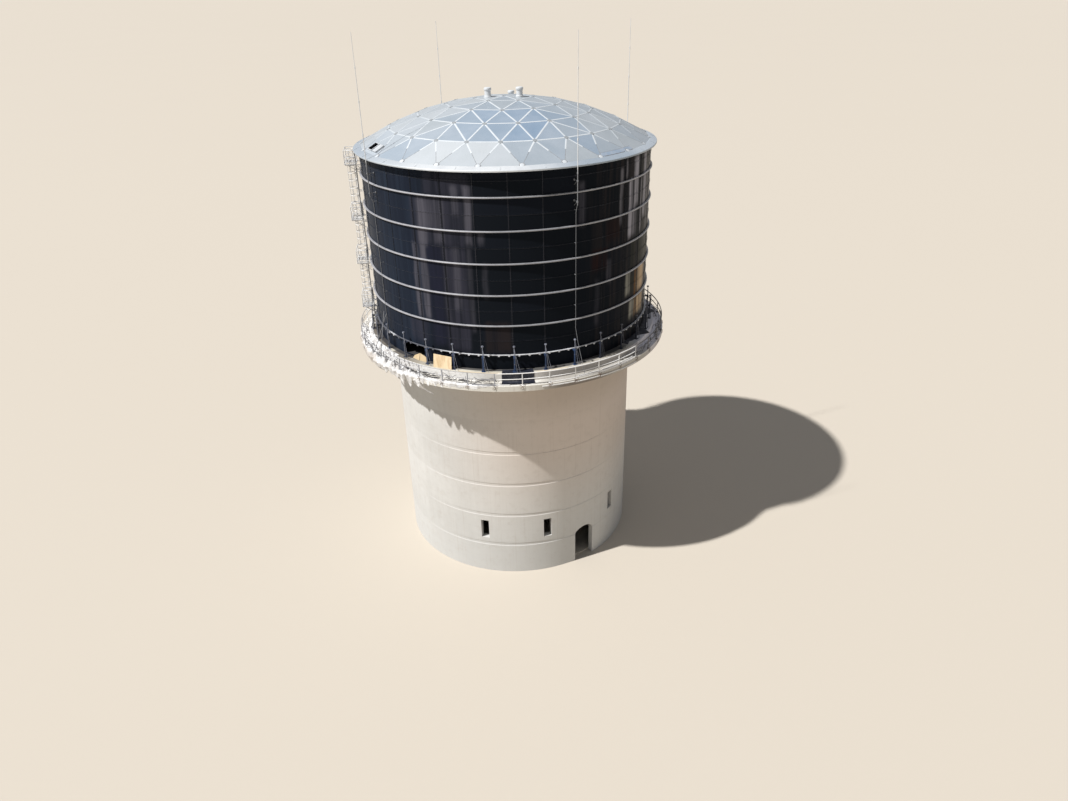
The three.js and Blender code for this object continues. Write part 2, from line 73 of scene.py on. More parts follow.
class Shape:
    """The corners and faces of a piece while it is put together."""

    def __init__(self):
        self.corners = []
        self.faces = []

    def add(self, corners, faces):
        first = len(self.corners)
        self.corners += [Vector(corner) for corner in corners]
        self.faces += [[first + i for i in face] for face in faces]
        return self

    def loft(self, rows, capped=True):
        """A skin over closed outlines with the same number of corners, closed at both ends."""
        size = len(rows[0])
        last = (len(rows) - 1) * size
        faces = [
            (here + i, here + size + i, here + size + (i + 1) % size, here + (i + 1) % size)
            for here in range(0, last, size) for i in range(size)
        ]
        if capped:
            faces += [range(size), range(last, last + size)]
        return self.add([corner for row in rows for corner in row], faces)

    def box(self, low, high):
        (x0, y0, z0), (x1, y1, z1) = low, high
        return self.loft([[(x0, y0, z), (x1, y0, z), (x1, y1, z), (x0, y1, z)] for z in (z0, z1)])

    def lathe(self, profile, steps, start=0.0, sweep=360.0):
        """A closed profile of (radius, height), swept round the axis."""
        turns = [start + sweep * i / steps for i in range(steps + 1)]
        rows = [[at(turn, radius, height) for radius, height in profile] for turn in turns]
        return self.loft(rows, sweep < 360.0)

    def band(self, inner, outer, low, high, steps, start, sweep):
        """A square bar bent round the axis."""
        return self.lathe([(inner, low), (outer, low), (outer, high), (inner, high)], steps, start, sweep)

    def pipe(self, path, radius, sides=8):
        """A round bar along a path, with flat ends. Its radius may be given stop by stop."""
        path = [Vector(point) for point in path]
        last = len(path) - 1
        ways = [(path[min(i + 1, last)] - path[max(i - 1, 0)]).normalized() for i in range(last + 1)]
        sizes = radius if isinstance(radius, tuple) else (radius,) * len(path)
        turns = [math.tau * k / sides for k in range(sides)]
        across = ways[0].orthogonal().normalized()
        rows = []
        for point, way, size in zip(path, ways, sizes):
            across = (across - way * across.dot(way)).normalized()
            rise = way.cross(across)
            rows.append([point + size * (across * math.cos(turn) + rise * math.sin(turn)) for turn in turns])
        return self.loft(rows)

    def join(self, other):
        return self.add(other.corners, other.faces)

    def turned(self, azimuth):
        turn = Matrix.Rotation(math.radians(azimuth), 3, "Z")
        self.corners = [turn @ corner for corner in self.corners]
        return self

    def piece(self, name, finish, crease=30.0):
        """The finished object, welded, closed outwards and smooth between its creases."""
        mesh = bpy.data.meshes.new(name)
        mesh.from_pydata(self.corners, [], self.faces)
        work = bmesh.new()
        work.from_mesh(mesh)
        bmesh.ops.remove_doubles(work, verts=work.verts, dist=1e-5)
        bmesh.ops.dissolve_degenerate(work, edges=work.edges, dist=1e-6)
        bmesh.ops.recalc_face_normals(work, faces=work.faces)
        work.to_mesh(mesh)
        work.free()
        mesh.materials.append(finish)
        thing = shown(name, mesh)
        soften(thing, crease)
        return thing


def shown(name, mesh):
    """An object of this mesh in the scene."""
    thing = bpy.data.objects.new(name, mesh)
    bpy.context.scene.collection.objects.link(thing)
    return thing


def soften(thing, crease):
    """Smooth shading, with every edge sharper than the crease kept."""
    work = bmesh.new()
    work.from_mesh(thing.data)
    for face in work.faces:
        face.smooth = True
    for edge in work.edges:
        edge.smooth = len(edge.link_faces) == 2 and edge.calc_face_angle() < math.radians(crease)
    work.to_mesh(thing.data)
    work.free()


def settle(thing):
    """Turns an object's modifiers into a plain mesh."""
    evaluated = thing.evaluated_get(bpy.context.evaluated_depsgraph_get())
    mesh = bpy.data.meshes.new_from_object(evaluated)
    thing.modifiers.clear()
    thing.data = mesh


def carve(thing, cutters, crease=30.0):
    """Takes the cutters out of a piece, and the cutters away."""
    for number, cutter in enumerate(cutters):
        tool = cutter.piece(f"cutter_{number}", thing.data.materials[0])
        cut = thing.modifiers.new("cut", "BOOLEAN")
        cut.operation = "DIFFERENCE"
        cut.solver = "EXACT"
        cut.object = tool
        settle(thing)
        bpy.data.objects.remove(tool)
    soften(thing, crease)


class Wire:
    """One socket of a node tree. Sums with it add the Math nodes that they need."""

    def __init__(self, bench, socket):
        self.bench = bench
        self.socket = socket

    def other(self, name):
        return Wire(self.bench, self.socket.node.outputs[name])

    def math(self, operation, *values):
        return self.bench.node("ShaderNodeMath", {"operation": operation}, dict(enumerate(values)))

    def __add__(self, value):
        return self.math("ADD", self, value)

    def __sub__(self, value):
        return self.math("SUBTRACT", self, value)

    def __rsub__(self, value):
        return self.math("SUBTRACT", value, self)

    def __mul__(self, value):
        return self.math("MULTIPLY", self, value)

    def __truediv__(self, value):
        return self.math("DIVIDE", self, value)

    def __mod__(self, value):
        return self.math("FLOORED_MODULO", self, value)

    def __pow__(self, value):
        return self.math("POWER", self, value)

    __radd__ = __add__
    __rmul__ = __mul__

    def floor(self):
        return self.math("FLOOR", self)

    def least(self, value):
        return self.math("MINIMUM", self, value)

    def fold(self):
        """Falls and rises once a turn: 0.5 at each whole number and 0 between two of them."""
        return self.math("ABSOLUTE", self % 1.0 - 0.5)

    def rise(self, low, high):
        """0 up to low, 1 from high on, and a soft step between them."""
        settings = {"interpolation_type": "SMOOTHSTEP"}
        return self.bench.node("ShaderNodeMapRange", settings, {0: self, 1: low, 2: high})


class Bench:
    """A node tree that nodes are added to, one call each."""

    def __init__(self, tree):
        self.tree = tree

    def node(self, kind, settings=None, values=None, out=0):
        made = self.tree.nodes.new(kind)
        for name, value in (settings or {}).items():
            setattr(made, name, value)
        for name, value in (values or {}).items():
            if isinstance(value, Wire):
                self.tree.links.new(value.socket, made.inputs[name])
            else:
                made.inputs[name].default_value = value
        return Wire(self, made.outputs[out]) if made.outputs else None

    def vector(self, x, y, z):
        return self.node("ShaderNodeCombineXYZ", {}, {0: x, 1: y, 2: z})


class Finish(Bench):
    """A material on Object coordinates, with the azimuth round the tower in degrees.

    Where it has clouds, its tone goes from light to dark as they rise over the spread.
    """

    def __init__(self, name, clouds=None, spread=None, light=(0.8, 0.8, 0.8), dark=None):
        self.material = bpy.data.materials.new(name)
        self.material.use_nodes = True
        super().__init__(self.material.node_tree)
        self.tree.nodes.clear()
        self.place = self.node("ShaderNodeTexCoord").other("Object")
        parts = self.node("ShaderNodeSeparateXYZ", {}, {0: self.place})
        self.x, self.y, self.height = parts, parts.other("Y"), parts.other("Z")
        self.azimuth = self.x.math("ARCTAN2", self.x, self.y * -1.0) * (180.0 / math.pi)
        self.radius = (self.x * self.x + self.y * self.y) ** 0.5
        self.tone = (*light, 1.0)
        if clouds:
            self.clouds = self.grain(*clouds)
            self.layered((self.clouds.rise(*spread), dark))

    def cloud(self, vector, scale, detail=4.0, rough=0.55):
        values = {"Vector": vector, "Scale": scale, "Detail": detail, "Roughness": rough}
        return self.node("ShaderNodeTexNoise", {}, values)

    def grain(self, *kind):
        """Even clouds of this scale, detail and roughness."""
        return self.cloud(self.place, *kind)

    def scaled(self, level, upright):
        return self.vector(self.x * level, self.y * level, self.height * upright)

    def stretched(self, level, upright, *kind):
        """Clouds that are drawn out along the height or across it."""
        return self.cloud(self.scaled(level, upright), 1.0, *kind)

    def wrapped(self, round_it, upright, *kind, seed=0.0):
        """Clouds that are laid round the tower by their azimuth."""
        return self.cloud(self.vector(self.azimuth * round_it, self.height * upright, seed), 1.0, *kind)

    def pits(self, vector, scale):
        return self.node("ShaderNodeTexVoronoi", {"feature": "F1"}, {"Vector": vector, "Scale": scale})

    def scattered(self, dimensions, **values):
        """One random number for each whole value."""
        values = {name.title(): value for name, value in values.items()}
        return self.node("ShaderNodeTexWhiteNoise", {"noise_dimensions": dimensions}, values)

    def sector(self, start, full, fading, end):
        """1 from one azimuth to another, with a soft step at both ends."""
        return self.azimuth.rise(start, full) * (1.0 - self.azimuth.rise(fading, end))

    def layered(self, *layers):
        """Lays colours over the tone, each with its share."""
        for share, colour in layers:
            values = {0: share, 6: self.tone, 7: (*colour, 1.0)}
            self.tone = self.node("ShaderNodeMix", {"data_type": "RGBA"}, values, out=2)
        return self

    def surface(self, rough, bump=None, **sockets):
        """The material, from its tone, (least, added) roughness and (depth, strength) of bump.

        Both follow the clouds, or the pattern that is given with them.
        """
        least, added, *pattern = rough
        values = {"Base Color": self.tone, "Roughness": least + added * (pattern or [self.clouds])[0]}
        if bump:
            depth, strength, *pattern = bump
            relief = {"Strength": strength, "Distance": depth, "Height": (pattern or [self.clouds])[0]}
            values["Normal"] = self.node("ShaderNodeBump", {}, relief)
        for name, value in sockets.items():
            values[name.replace("_", " ").title().replace("Ior", "IOR")] = value
        shader = self.node("ShaderNodeBsdfPrincipled", {}, values)
        self.node("ShaderNodeOutputMaterial", {}, {"Surface": shader})
        return self.material


# Pedestal wall: reinforced concrete, cast in lifts between ring forms. A shallow recessed band
# marks each lift joint, and the windows and the arched doorway were boxed out of the forms.
wall_radius = 5.12
wall_inner_radius = 4.87
wall_top = 9.6395
lift_height = 1.529
lift_joints = [1.4865 + lift_height * lift for lift in range(5)]
joint_half = 0.08
joint_depth = 0.015
window_azimuths = (-16.9, 13.6, 53.3, 84.5)
window_half_width = 0.1725
window_sill, window_head = 1.775, 2.675
door_azimuth = 33.8
door_half_width = 0.4875
door_spring = 1.365
door_rise = 0.34
form_angle = 7.5


def cast_concrete():
    """Fair-faced concrete: clouded, streaked, pitted, and toned lift by lift, with painted light and shade: a
    lighter front and a paler foot as painted light, a warm painted shade on the side away from the sun and a
    darker painted shade under the deck.
    """
    concrete = Finish("cast_concrete", light=(0.565, 0.555, 0.53))
    azimuth, height = concrete.azimuth, concrete.height
    lift_tone = concrete.scattered("1D", w=((height - lift_joints[0]) / lift_height).floor())
    clouds = concrete.grain(0.55, 6.0, 0.6)
    mottle = concrete.grain(3.5, 8.0, 0.65)
    streaks = concrete.wrapped(0.55, 0.16, 5.0, 0.6)
    layers = concrete.cloud(concrete.vector(azimuth * 0.03, 1.0, height * 7.0), 1.0, 4.0, 0.6)
    stain = concrete.wrapped(1.6, 0.25, 3.0, seed=3.0)
    form_joint = (azimuth / form_angle).fold().rise(0.488, 0.497)
    # Painted light: the foot is painted paler and cooler, as light thrown up from the ground, and the front
    # of the wall lighter.
    foot = 1.0 - height.rise(0.0, 3.6)
    # Painted shade: the side away from the sun is painted warm, as the bounce light in its shade, and darker
    # near the top, as the shade under the deck.
    painted_shade_side = concrete.sector(-50.0, 22.0, 110.0, 170.0)
    tone = clouds * 0.4 + mottle * 0.22 + streaks * 0.22 + lift_tone * 0.1 + layers * 0.2 + foot * 0.1 - 0.12
    concrete.layered(
        (tone.rise(0.2, 0.72), (0.465, 0.455, 0.43)),
        (concrete.sector(-34.0, 4.0, 42.0, 60.0) * 0.42, (0.68, 0.66, 0.62)),
        (foot * 0.5, (0.50, 0.505, 0.495)),
        (painted_shade_side * height.rise(2.0, 7.0) * 0.7, (0.64, 0.525, 0.435)),
        (painted_shade_side * height.rise(7.0, 8.6) * 0.5, (0.42, 0.35, 0.28)),
        (stain.rise(0.55, 0.75) * 0.2, (0.36, 0.30, 0.24)),
        (mottle.rise(0.52, 0.66) * 0.12, (0.40, 0.34, 0.28)),
        (form_joint * 0.04, (0.3, 0.27, 0.23)),
    )
    pits = concrete.pits(concrete.place, 9.0).rise(0.06, 0.13)
    relief = concrete.grain(70.0, 3.0, 0.7) * 0.25 + pits * 0.4 + mottle * 0.8 + layers * 0.4
    return concrete.surface((0.82, 0.12, mottle), (0.006, 0.7, relief - form_joint * 0.2))


def through_wall(outline, azimuth):
    """A block through the wall with this (along, height) outline."""
    depths = (-wall_radius - 0.5, -wall_inner_radius + 0.5)
    return Shape().loft([[(along, y, height) for along, height in outline] for y in depths]).turned(azimuth)


wall_profile = [(wall_inner_radius, 0.0), (wall_radius, 0.0)]
for joint in lift_joints:
    band = ((0.0, -joint_half), (-joint_depth, -0.056), (-joint_depth, 0.076), (0.0, joint_half))
    wall_profile += beside(wall_radius, joint, *band)
wall_profile += [(wall_radius, wall_top), (wall_inner_radius, wall_top)]
wall_shape = Shape().lathe(wall_profile, 240)
# The bands are deepest in front, and the topmost is nearly filled up.
for corner in wall_shape.corners:
    recess = wall_radius - math.hypot(corner.x, corner.y)
    if 1e-6 < recess < 2 * joint_depth:
        azimuth = bearing(corner)
        share = 0.22 + 0.78 * within(azimuth, -52.0, -22.0, 34.0, 58.0)
        share *= 1.0 - 0.7 * between(corner.z, 7.2, 7.4)
        spread = (wall_radius - recess * share) / (wall_radius - recess)
        corner.x *= spread
        corner.y *= spread
wall = wall_shape.piece("pedestal_wall", cast_concrete(), 8.0)
left, right = -window_half_width, window_half_width
window = [(left, window_sill), (right, window_sill), (right, window_head), (left, window_head)]
arch = [(-door_half_width, -0.5), (door_half_width, -0.5)]
for turn in (math.pi * step / 24 for step in range(25)):
    arch.append((door_half_width * math.cos(turn), door_spring + door_rise * math.sin(turn)))
openings = [through_wall(window, azimuth) for azimuth in window_azimuths]
carve(wall, [*openings, through_wall(arch, door_azimuth)], 8.0)
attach(wall, "root")
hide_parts(*[f"pedestal_wall_{number}" for number in range(1, 11)], "door_lintel")

# Ground floor: a slab cast inside the ring wall and left as floated, with dust trodden over it.
# It shows through the doorway only.
floor_finish = Finish("floated_floor", (1.4, 7.0), (0.3, 0.7), (0.36, 0.33, 0.28), (0.52, 0.47, 0.39))
floor_concrete = floor_finish.surface((0.9, 0.0), (0.004, 0.6, floor_finish.grain(25.0)))
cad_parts["ground_floor"].material_slots[0].material = floor_concrete

# Deck slab: a round slab cast over the ring wall. Its rim stands out past the wall as the
# walkway, with a drip edge below, and is floated over with light cement.
deck_radius = 6.55
deck_base = 9.64
deck_top = 9.872
deck_finish = Finish(
    "floated_cement", (0.8, 6.0, 0.6), (0.38, 0.66), (0.68, 0.66, 0.62), (0.54, 0.51, 0.46)
)
deck_patch = deck_finish.grain(5.0, 8.0, 0.7)
# Painted light: on the right, where the tank's shadow falls, the walkway is painted pale lavender as the sky
# light in that shade.
deck_painted_skylight = deck_finish.sector(46.0, 62.0, 150.0, 175.0)
deck_rim = deck_finish.radius.rise(6.49, 6.53)
deck_face = deck_rim * (1.0 - deck_finish.height.rise(9.80, 9.86))
deck_shade = deck_finish.azimuth.rise(4.0, 18.0) * (1.0 - deck_finish.azimuth.rise(28.0, 38.0) * 0.6)
floated_cement = deck_finish.layered(
    (deck_patch.rise(0.5, 0.68) * 0.5, (0.40, 0.36, 0.31)),
    # Painted shade: the walkway right of the front is painted darker.
    (deck_finish.sector(6.0, 14.0, 150.0, 175.0) * 0.7, (0.24, 0.22, 0.19)),
    (deck_painted_skylight * 0.9, (0.79, 0.78, 0.85)),
    (deck_rim * (1.0 - deck_painted_skylight * 0.7), (0.63, 0.605, 0.545)),
    (deck_face * deck_shade * 0.95, (0.225, 0.19, 0.158)),
    (deck_finish.stretched(3.0, 0.7, 6.0, 0.7).rise(0.52, 0.74) * 0.45, (0.38, 0.33, 0.27)),
).surface((0.8, 0.15, deck_patch), (0.008, 0.8, deck_patch * 0.7 + deck_finish.grain(60.0) * 0.2))
drip_edge = ((-0.06, 0.0), (-0.05, 0.02), (-0.035, 0.0), (-0.01, 0.0), (0.0, 0.01))
deck_profile = [
    (0.0, deck_base),
    *beside(deck_radius, deck_base, *drip_edge),
    *beside(deck_radius, deck_top, (0.0, -0.01), (-0.01, 0.0)),
    (0.0, deck_top),
]
deck = Shape().lathe(deck_profile, 240).piece("deck", floated_cement)
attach(deck, "root")
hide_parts("deck_slab")

# Plinth: a second, lower drum cast on the deck, which the tank's lowest course stands on. Its edge is left in
# light cement, splashed white on the left, with painted shade on the right and a pale lavender painted light
# where the tank's shadow falls.
plinth_radius = 6.1375
plinth_top = 10.174
plinth_finish = Finish(
    "plinth_cement", (1.1, 6.0, 0.6), (0.35, 0.65), (0.57, 0.54, 0.46), (0.40, 0.365, 0.30)
)
plinth_patch = plinth_finish.grain(7.0, 8.0, 0.7)
plinth_face = plinth_finish.radius.rise(6.125, 6.136)
# Painted shade: the plinth right of the front is painted darker, its face most.
plinth_right_shade = plinth_finish.sector(4.0, 14.0, 150.0, 175.0)
plinth_left = plinth_finish.sector(-125.0, -100.0, -46.0, -30.0)
plinth_splash = plinth_finish.sector(-96.0, -92.0, -16.0, -6.0) * (1.0 - plinth_patch.rise(0.52, 0.6))
plinth_tar = 1.0 - (plinth_finish.radius - plinth_finish.azimuth.rise(0.0, 8.0) * 0.07).rise(5.87, 5.92)
plinth_cement = plinth_finish.layered(
    (plinth_patch.rise(0.52, 0.66) * 0.6, (0.30, 0.27, 0.22)),
    (plinth_face * 0.8, (0.66, 0.64, 0.61)),
    (plinth_right_shade * (0.3 + 0.35 * plinth_face), (0.27, 0.25, 0.235)),
    (plinth_patch.rise(0.56, 0.68) * 0.4, (0.36, 0.33, 0.30)),
    (plinth_finish.clouds.rise(0.32, 0.45) * plinth_left * 0.9, (0.105, 0.09, 0.075)),
    (plinth_face * plinth_splash * 0.8, (0.78, 0.77, 0.75)),
    # Painted light: pale lavender where the tank's shadow falls, as the sky light in that shade.
    (plinth_finish.sector(46.0, 60.0, 150.0, 175.0) * 0.9, (0.72, 0.71, 0.77)),
    (plinth_tar * plinth_finish.sector(-150.0, -110.0, 46.0, 52.0) * 0.9, (0.026, 0.025, 0.028)),
).surface((0.8, 0.15, plinth_patch), (0.01, 0.8, plinth_patch + plinth_finish.clouds * 0.5))
plinth_edge = beside(plinth_radius, plinth_top, (0.0, -0.015), (-0.015, 0.0))
plinth_profile = [(0.0, deck_top), (plinth_radius, deck_top), *plinth_edge, (0.0, plinth_top)]
plinth = Shape().lathe(plinth_profile, 240).piece("plinth", plinth_cement)
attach(plinth, "root")
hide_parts("tank_plinth")

# Spilt cement: white cement that was pumped onto the walkway on the left has set in a lumpy
# crust, heaped on the plinth's edge too, run over the rim and hardened in tongues below it.
crust_start = -92.0
crust_end = -8.0
crust_step = 0.25
crust_tongues = (
    (-86.0, 2.2, 0.22), (-81.5, 1.8, 0.27), (-77.0, 2.0, 0.24), (-72.0, 2.4, 0.28), (-67.5, 1.9, 0.25),
    (-63.5, 2.0, 0.29), (-59.5, 1.8, 0.26), (-55.5, 1.9, 0.31), (-52.0, 1.6, 0.28), (-49.4, 1.9, 0.34),
    (-46.3, 1.5, 0.31), (-43.3, 1.5, 0.34), (-40.4, 1.7, 0.54), (-37.3, 1.5, 0.52), (-33.8, 1.3, 0.44),
    (-31.9, 0.9, 0.27), (-29.7, 1.0, 0.29), (-26.9, 0.8, 0.24), (-24.4, 0.9, 0.24), (-21.6, 1.2, 0.19),
    (-18.0, 1.6, 0.16), (-13.5, 1.6, 0.14),
)
crust_finish = Finish(
    "set_white_cement", (3.2, 8.0, 0.65), (0.42, 0.62), (0.80, 0.795, 0.785), (0.54, 0.525, 0.51)
)
crust_grit = crust_finish.grain(15.0, 6.0, 0.75)
crust_mud = crust_finish.grain(4.6, 7.0, 0.72).rise(0.53, 0.60)
crust_inside = 1.0 - crust_finish.radius.rise(6.42, 6.55)
# Painted shade: the crust's face over the rim at the far left is painted clay brown.
crust_rim_shade = (1.0 - crust_finish.azimuth.rise(-60.0, -52.0)) * crust_finish.radius.rise(6.5, 6.56)
white_cement = crust_finish.layered(
    (crust_mud * (0.25 + 0.45 * crust_inside), (0.17, 0.15, 0.145)),
    (crust_grit.rise(0.58, 0.68) * 0.7, (0.19, 0.17, 0.16)),
    (crust_rim_shade * (0.35 + 0.5 * crust_finish.clouds), (0.36, 0.31, 0.26)),
).surface((0.75, 0.2, crust_grit), (0.03, 0.9, crust_finish.clouds + crust_grit * 0.6))


def ripple(azimuth, scale, seed):
    """Smooth noise round the tower, about -1 to 1."""
    return noise.noise(Vector((azimuth * scale, seed, 0.5 * seed))) * 1.6


def lumpy(x, y, z, octaves):
    """Rough noise, about -1 to 1."""
    return noise.fractal(Vector((x, y, z)), 0.7, 2.1, octaves)


def crust_cover(azimuth):
    """How much of the walkway's width the crust covers at one azimuth."""
    narrow = 1.0 - 0.72 * between(azimuth, -38.0, -31.0)
    return within(azimuth, crust_start, -84.0, -16.0, crust_end) * narrow


def crust_depth(azimuth, radius):
    """The crust's thickness on the walkway."""
    lumps = max(0.0, 0.22 + 1.15 * lumpy(azimuth * 0.55, radius * 6.0, 1.7, 5))
    heap = within(azimuth, -62.0, -54.0, -40.0, -34.0) * between(radius, 6.15, 6.4)
    return 0.003 + (0.085 + 0.17 * heap) * lumps * crust_cover(azimuth) ** 0.5


def crust_hang(azimuth):
    """How far the crust hangs below the rim's top edge."""
    film = within(azimuth, crust_start, -82.0, -12.0, crust_end)
    film *= 0.11 + 0.05 * ripple(azimuth, 0.7, 3.0) + 0.05 * ripple(azimuth, 2.6, 8.0)
    film += 0.15 * within(azimuth, -84.0, -74.0, -46.0, -37.0)
    tongues = []
    for centre, width, length in crust_tongues:
        off = (azimuth - centre) / (width * (1.35 if azimuth < centre else 0.75))
        tongues.append(length * max(0.0, 1.0 - abs(off) ** 1.7))
    return max(0.01, film, *tongues)


def crust_lip(azimuth, cover):
    """How far the crust stands out past the rim."""
    lip = (0.010 + 0.030 * abs(noise.noise(Vector((azimuth * 0.9, 7.0, 2.0))))) * (0.3 + 0.7 * cover)
    bulk = within(azimuth, -66.0, -58.0, -41.0, -34.0)
    return lip + 0.05 * bulk * (1.4 + ripple(azimuth, 0.9, 13.0))


def crust_section(azimuth):
    """The crust's outline at one azimuth, from the walkway over the rim and back."""
    cover = crust_cover(azimuth)
    hang = crust_hang(azimuth)
    lip = crust_lip(azimuth, cover)
    width = deck_radius - plinth_radius - 0.035
    reach = 0.03 + width * min(1.0, cover * (1.0 + 0.25 * ripple(azimuth, 0.5, 5.0)))
    outline = []
    for step in range(13):
        across = step / 12
        radius = deck_radius - reach * (1.0 - across)
        depth = crust_depth(azimuth, radius) * min(1.0, across * 6.0 + 0.1) * (1.0 if step < 12 else 0.75)
        outline.append((radius, deck_top + 0.001 + depth))
    outline.append((deck_radius + lip * 0.9, deck_top + 0.002))
    for down in (0.1, 0.22, 0.36, 0.5, 0.64, 0.78, 0.9, 1.0):
        thick = lip * (1.3 - down)
        bulge = 0.012 * noise.noise(Vector((azimuth * 1.3, down * hang * 9.0, 4.0))) * cover
        outline.append((deck_radius + 0.004 + thick + max(-0.6 * thick, bulge), deck_top - hang * down))
    back = ((0.001, -hang * 0.97), (0.001, -0.005), (-0.004, 0.0005), (-reach, 0.0005))
    outline += beside(deck_radius, deck_top, *back)
    return [at(azimuth, radius, height) for radius, height in outline]


def heap_section(azimuth):
    """The outline of the cement that is heaped on the plinth's edge, at one azimuth."""
    edge = within(azimuth, -90.0, -86.0, -52.0, -48.0)
    inner = 6.02 - 0.12 * max(0.0, ripple(azimuth, 0.35, 12.0)) * edge
    outline = [(inner, plinth_top + 0.001)]
    for step in range(1, 7):
        radius = inner + (plinth_radius + 0.02 - inner) * step / 6
        lump = max(0.0, 0.3 + 1.1 * lumpy(azimuth * 0.6, radius * 7.0, 6.0, 4))
        outline.append((radius, plinth_top + 0.002 + 0.11 * edge * lump * math.sin(math.pi * step / 7)))
    outline += beside(plinth_radius, deck_top, (0.03 * edge + 0.001, 0.001), (0.0005, 0.001))
    outline += beside(plinth_radius, plinth_top, (0.0005, 0.0005))
    return [at(azimuth, radius, height) for radius, height in outline]


crust_columns = int((crust_end - crust_start) / crust_step) + 1
crust = Shape().loft([crust_section(crust_start + column * crust_step) for column in range(crust_columns)])
spikes = ((-33.4, 0.62, 3.6), (-35.4, 0.52, 2.4), (-37.6, 0.36, 1.2), (-44.5, 0.44, 2.0), (-57.0, 0.44, 1.5))
for azimuth, length, lean in spikes:
    path = [
        at(azimuth + lean * step * step, deck_radius - 0.32 * step * step, deck_base + 0.06 - length * step)
        for step in (0.0, 0.25, 0.5, 0.75, 1.0)
    ]
    crust.pipe(path, (0.05, 0.045, 0.036, 0.026, 0.008), 7)
crust.loft([heap_section(-90.0 + 0.4 * column) for column in range(106)])
spilt_crust = crust.piece("spilt_cement_crust", white_cement, 70.0)
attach(spilt_crust, "root")

# Membrane: a black sheet taped over the front of the plinth and the walkway, turned down at
# the plinth's edge. It is creased where it was folded in its roll.
membrane_finish = Finish(
    "black_membrane", (2.5, 7.0, 0.65), (0.45, 0.8), (0.012, 0.014, 0.024), (0.06, 0.06, 0.07)
)
membrane_crease = (membrane_finish.azimuth / 2.8).fold().rise(0.44, 0.5)
black_membrane = membrane_finish.surface((0.42, 0.25), (0.01, 0.6, membrane_finish.clouds + membrane_crease))
membrane_inner, membrane_outer = 5.775, 6.4
membrane_start, membrane_sweep = -4.3, 11.3
membrane_profile = [
    (membrane_inner, plinth_top),
    *beside(plinth_radius, plinth_top, (-0.012, 0.0), (0.001, -0.013)),
    (plinth_radius + 0.001, deck_top + 0.001),
    *beside(membrane_outer, deck_top, (0.0, 0.001), (0.0, 0.008)),
    *beside(plinth_radius, deck_top, (0.018, 0.01), (0.009, 0.02)),
    *beside(plinth_radius, plinth_top, (0.009, -0.008), (-0.004, 0.008)),
    (membrane_inner, plinth_top + 0.008),
]
membrane_shape = Shape().lathe(membrane_profile, 24, membrane_start, membrane_sweep)
membrane = membrane_shape.piece("plinth_membrane", black_membrane)
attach(membrane, "root")

# Boards: plywood offcuts that were left on the plinth, one on edge against a jack, others
# leaning in the gap of the missing sheet, and timber strips along the plinth's edge.
ply_finish = Finish("plywood", light=(0.78, 0.62, 0.41))
ply_grain = ply_finish.stretched(9.0, 1.6, 8.0, 0.6)
plywood = ply_finish.layered(
    (ply_grain.rise(0.35, 0.7), (0.58, 0.42, 0.24)),
    (1.0 - ply_finish.pits(ply_finish.scaled(3.0, 2.0), 1.0).rise(0.04, 0.1), (0.30, 0.17, 0.08)),
    ((1.0 - ply_finish.height.rise(10.192, 10.2)) * 0.8, (0.60, 0.54, 0.43)),
    ((1.0 - ply_finish.azimuth.rise(-34.5, -32.5)) * 0.7, (0.42, 0.32, 0.18)),
).surface((0.6, 0.25, ply_grain), (0.002, 0.8, ply_grain))
boards = Shape()
for thickness, *places in (
    (0.012, (-29.9, 6.10, 0.001), (-22.7, 6.07, 0.001), (-22.7, 6.00, 0.50), (-29.9, 6.03, 0.53)),
    (0.01, (-41.8, 5.86, 0.001), (-38.1, 5.90, 0.001), (-38.3, 5.80, 0.27), (-41.5, 5.78, 0.10)),
    (0.01, (-37.9, 5.90, 0.001), (-34.6, 5.88, 0.001), (-34.9, 5.80, 0.16), (-38.1, 5.80, 0.27)),
):
    front = [at(azimuth, radius, plinth_top + lift) for azimuth, radius, lift in places]
    back = (front[1] - front[0]).cross(front[3] - front[0]).normalized() * -thickness
    boards.loft([front, [corner + back for corner in front]])
for start, end in ((-20.0, -5.0), (8.0, 19.5)):
    boards.band(6.06, 6.12, plinth_top + 0.001, plinth_top + 0.02, 8, start, end - start)
plywood_boards = boards.piece("plywood_boards", plywood)
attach(plywood_boards, "root")

# Tank shell: enamelled steel sheets, thirty to a course, lapped and bolted edge to edge. Streaks run down
# them, partly rain and dust and partly painted reflections of the sky and the surroundings, and one sheet of
# the lowest course is not fitted yet.
shell_radius = 5.73
shell_base = 10.1745
shell_course = 0.5815
shell_top = shell_base + 12.5 * shell_course
seams = [shell_base + number * shell_course for number in range(1, 13)]
sheet_angle = 12.0
sheet_inset = 0.006
sheet_lap = 0.035
missing_start, missing_end = -48.0, -36.0
mauve, grey, lilac = (0.033, 0.033, 0.046), (0.076, 0.074, 0.090), (0.34, 0.33, 0.37)
cream, sand = (0.34, 0.33, 0.28), (0.46, 0.33, 0.20)
umber, moss = (0.115, 0.052, 0.012), (0.022, 0.024, 0.017)
navy, sepia = (0.0155, 0.0165, 0.0290), (0.026, 0.020, 0.020)
russet, maroon = (0.026, 0.011, 0.009), (0.020, 0.009, 0.008)
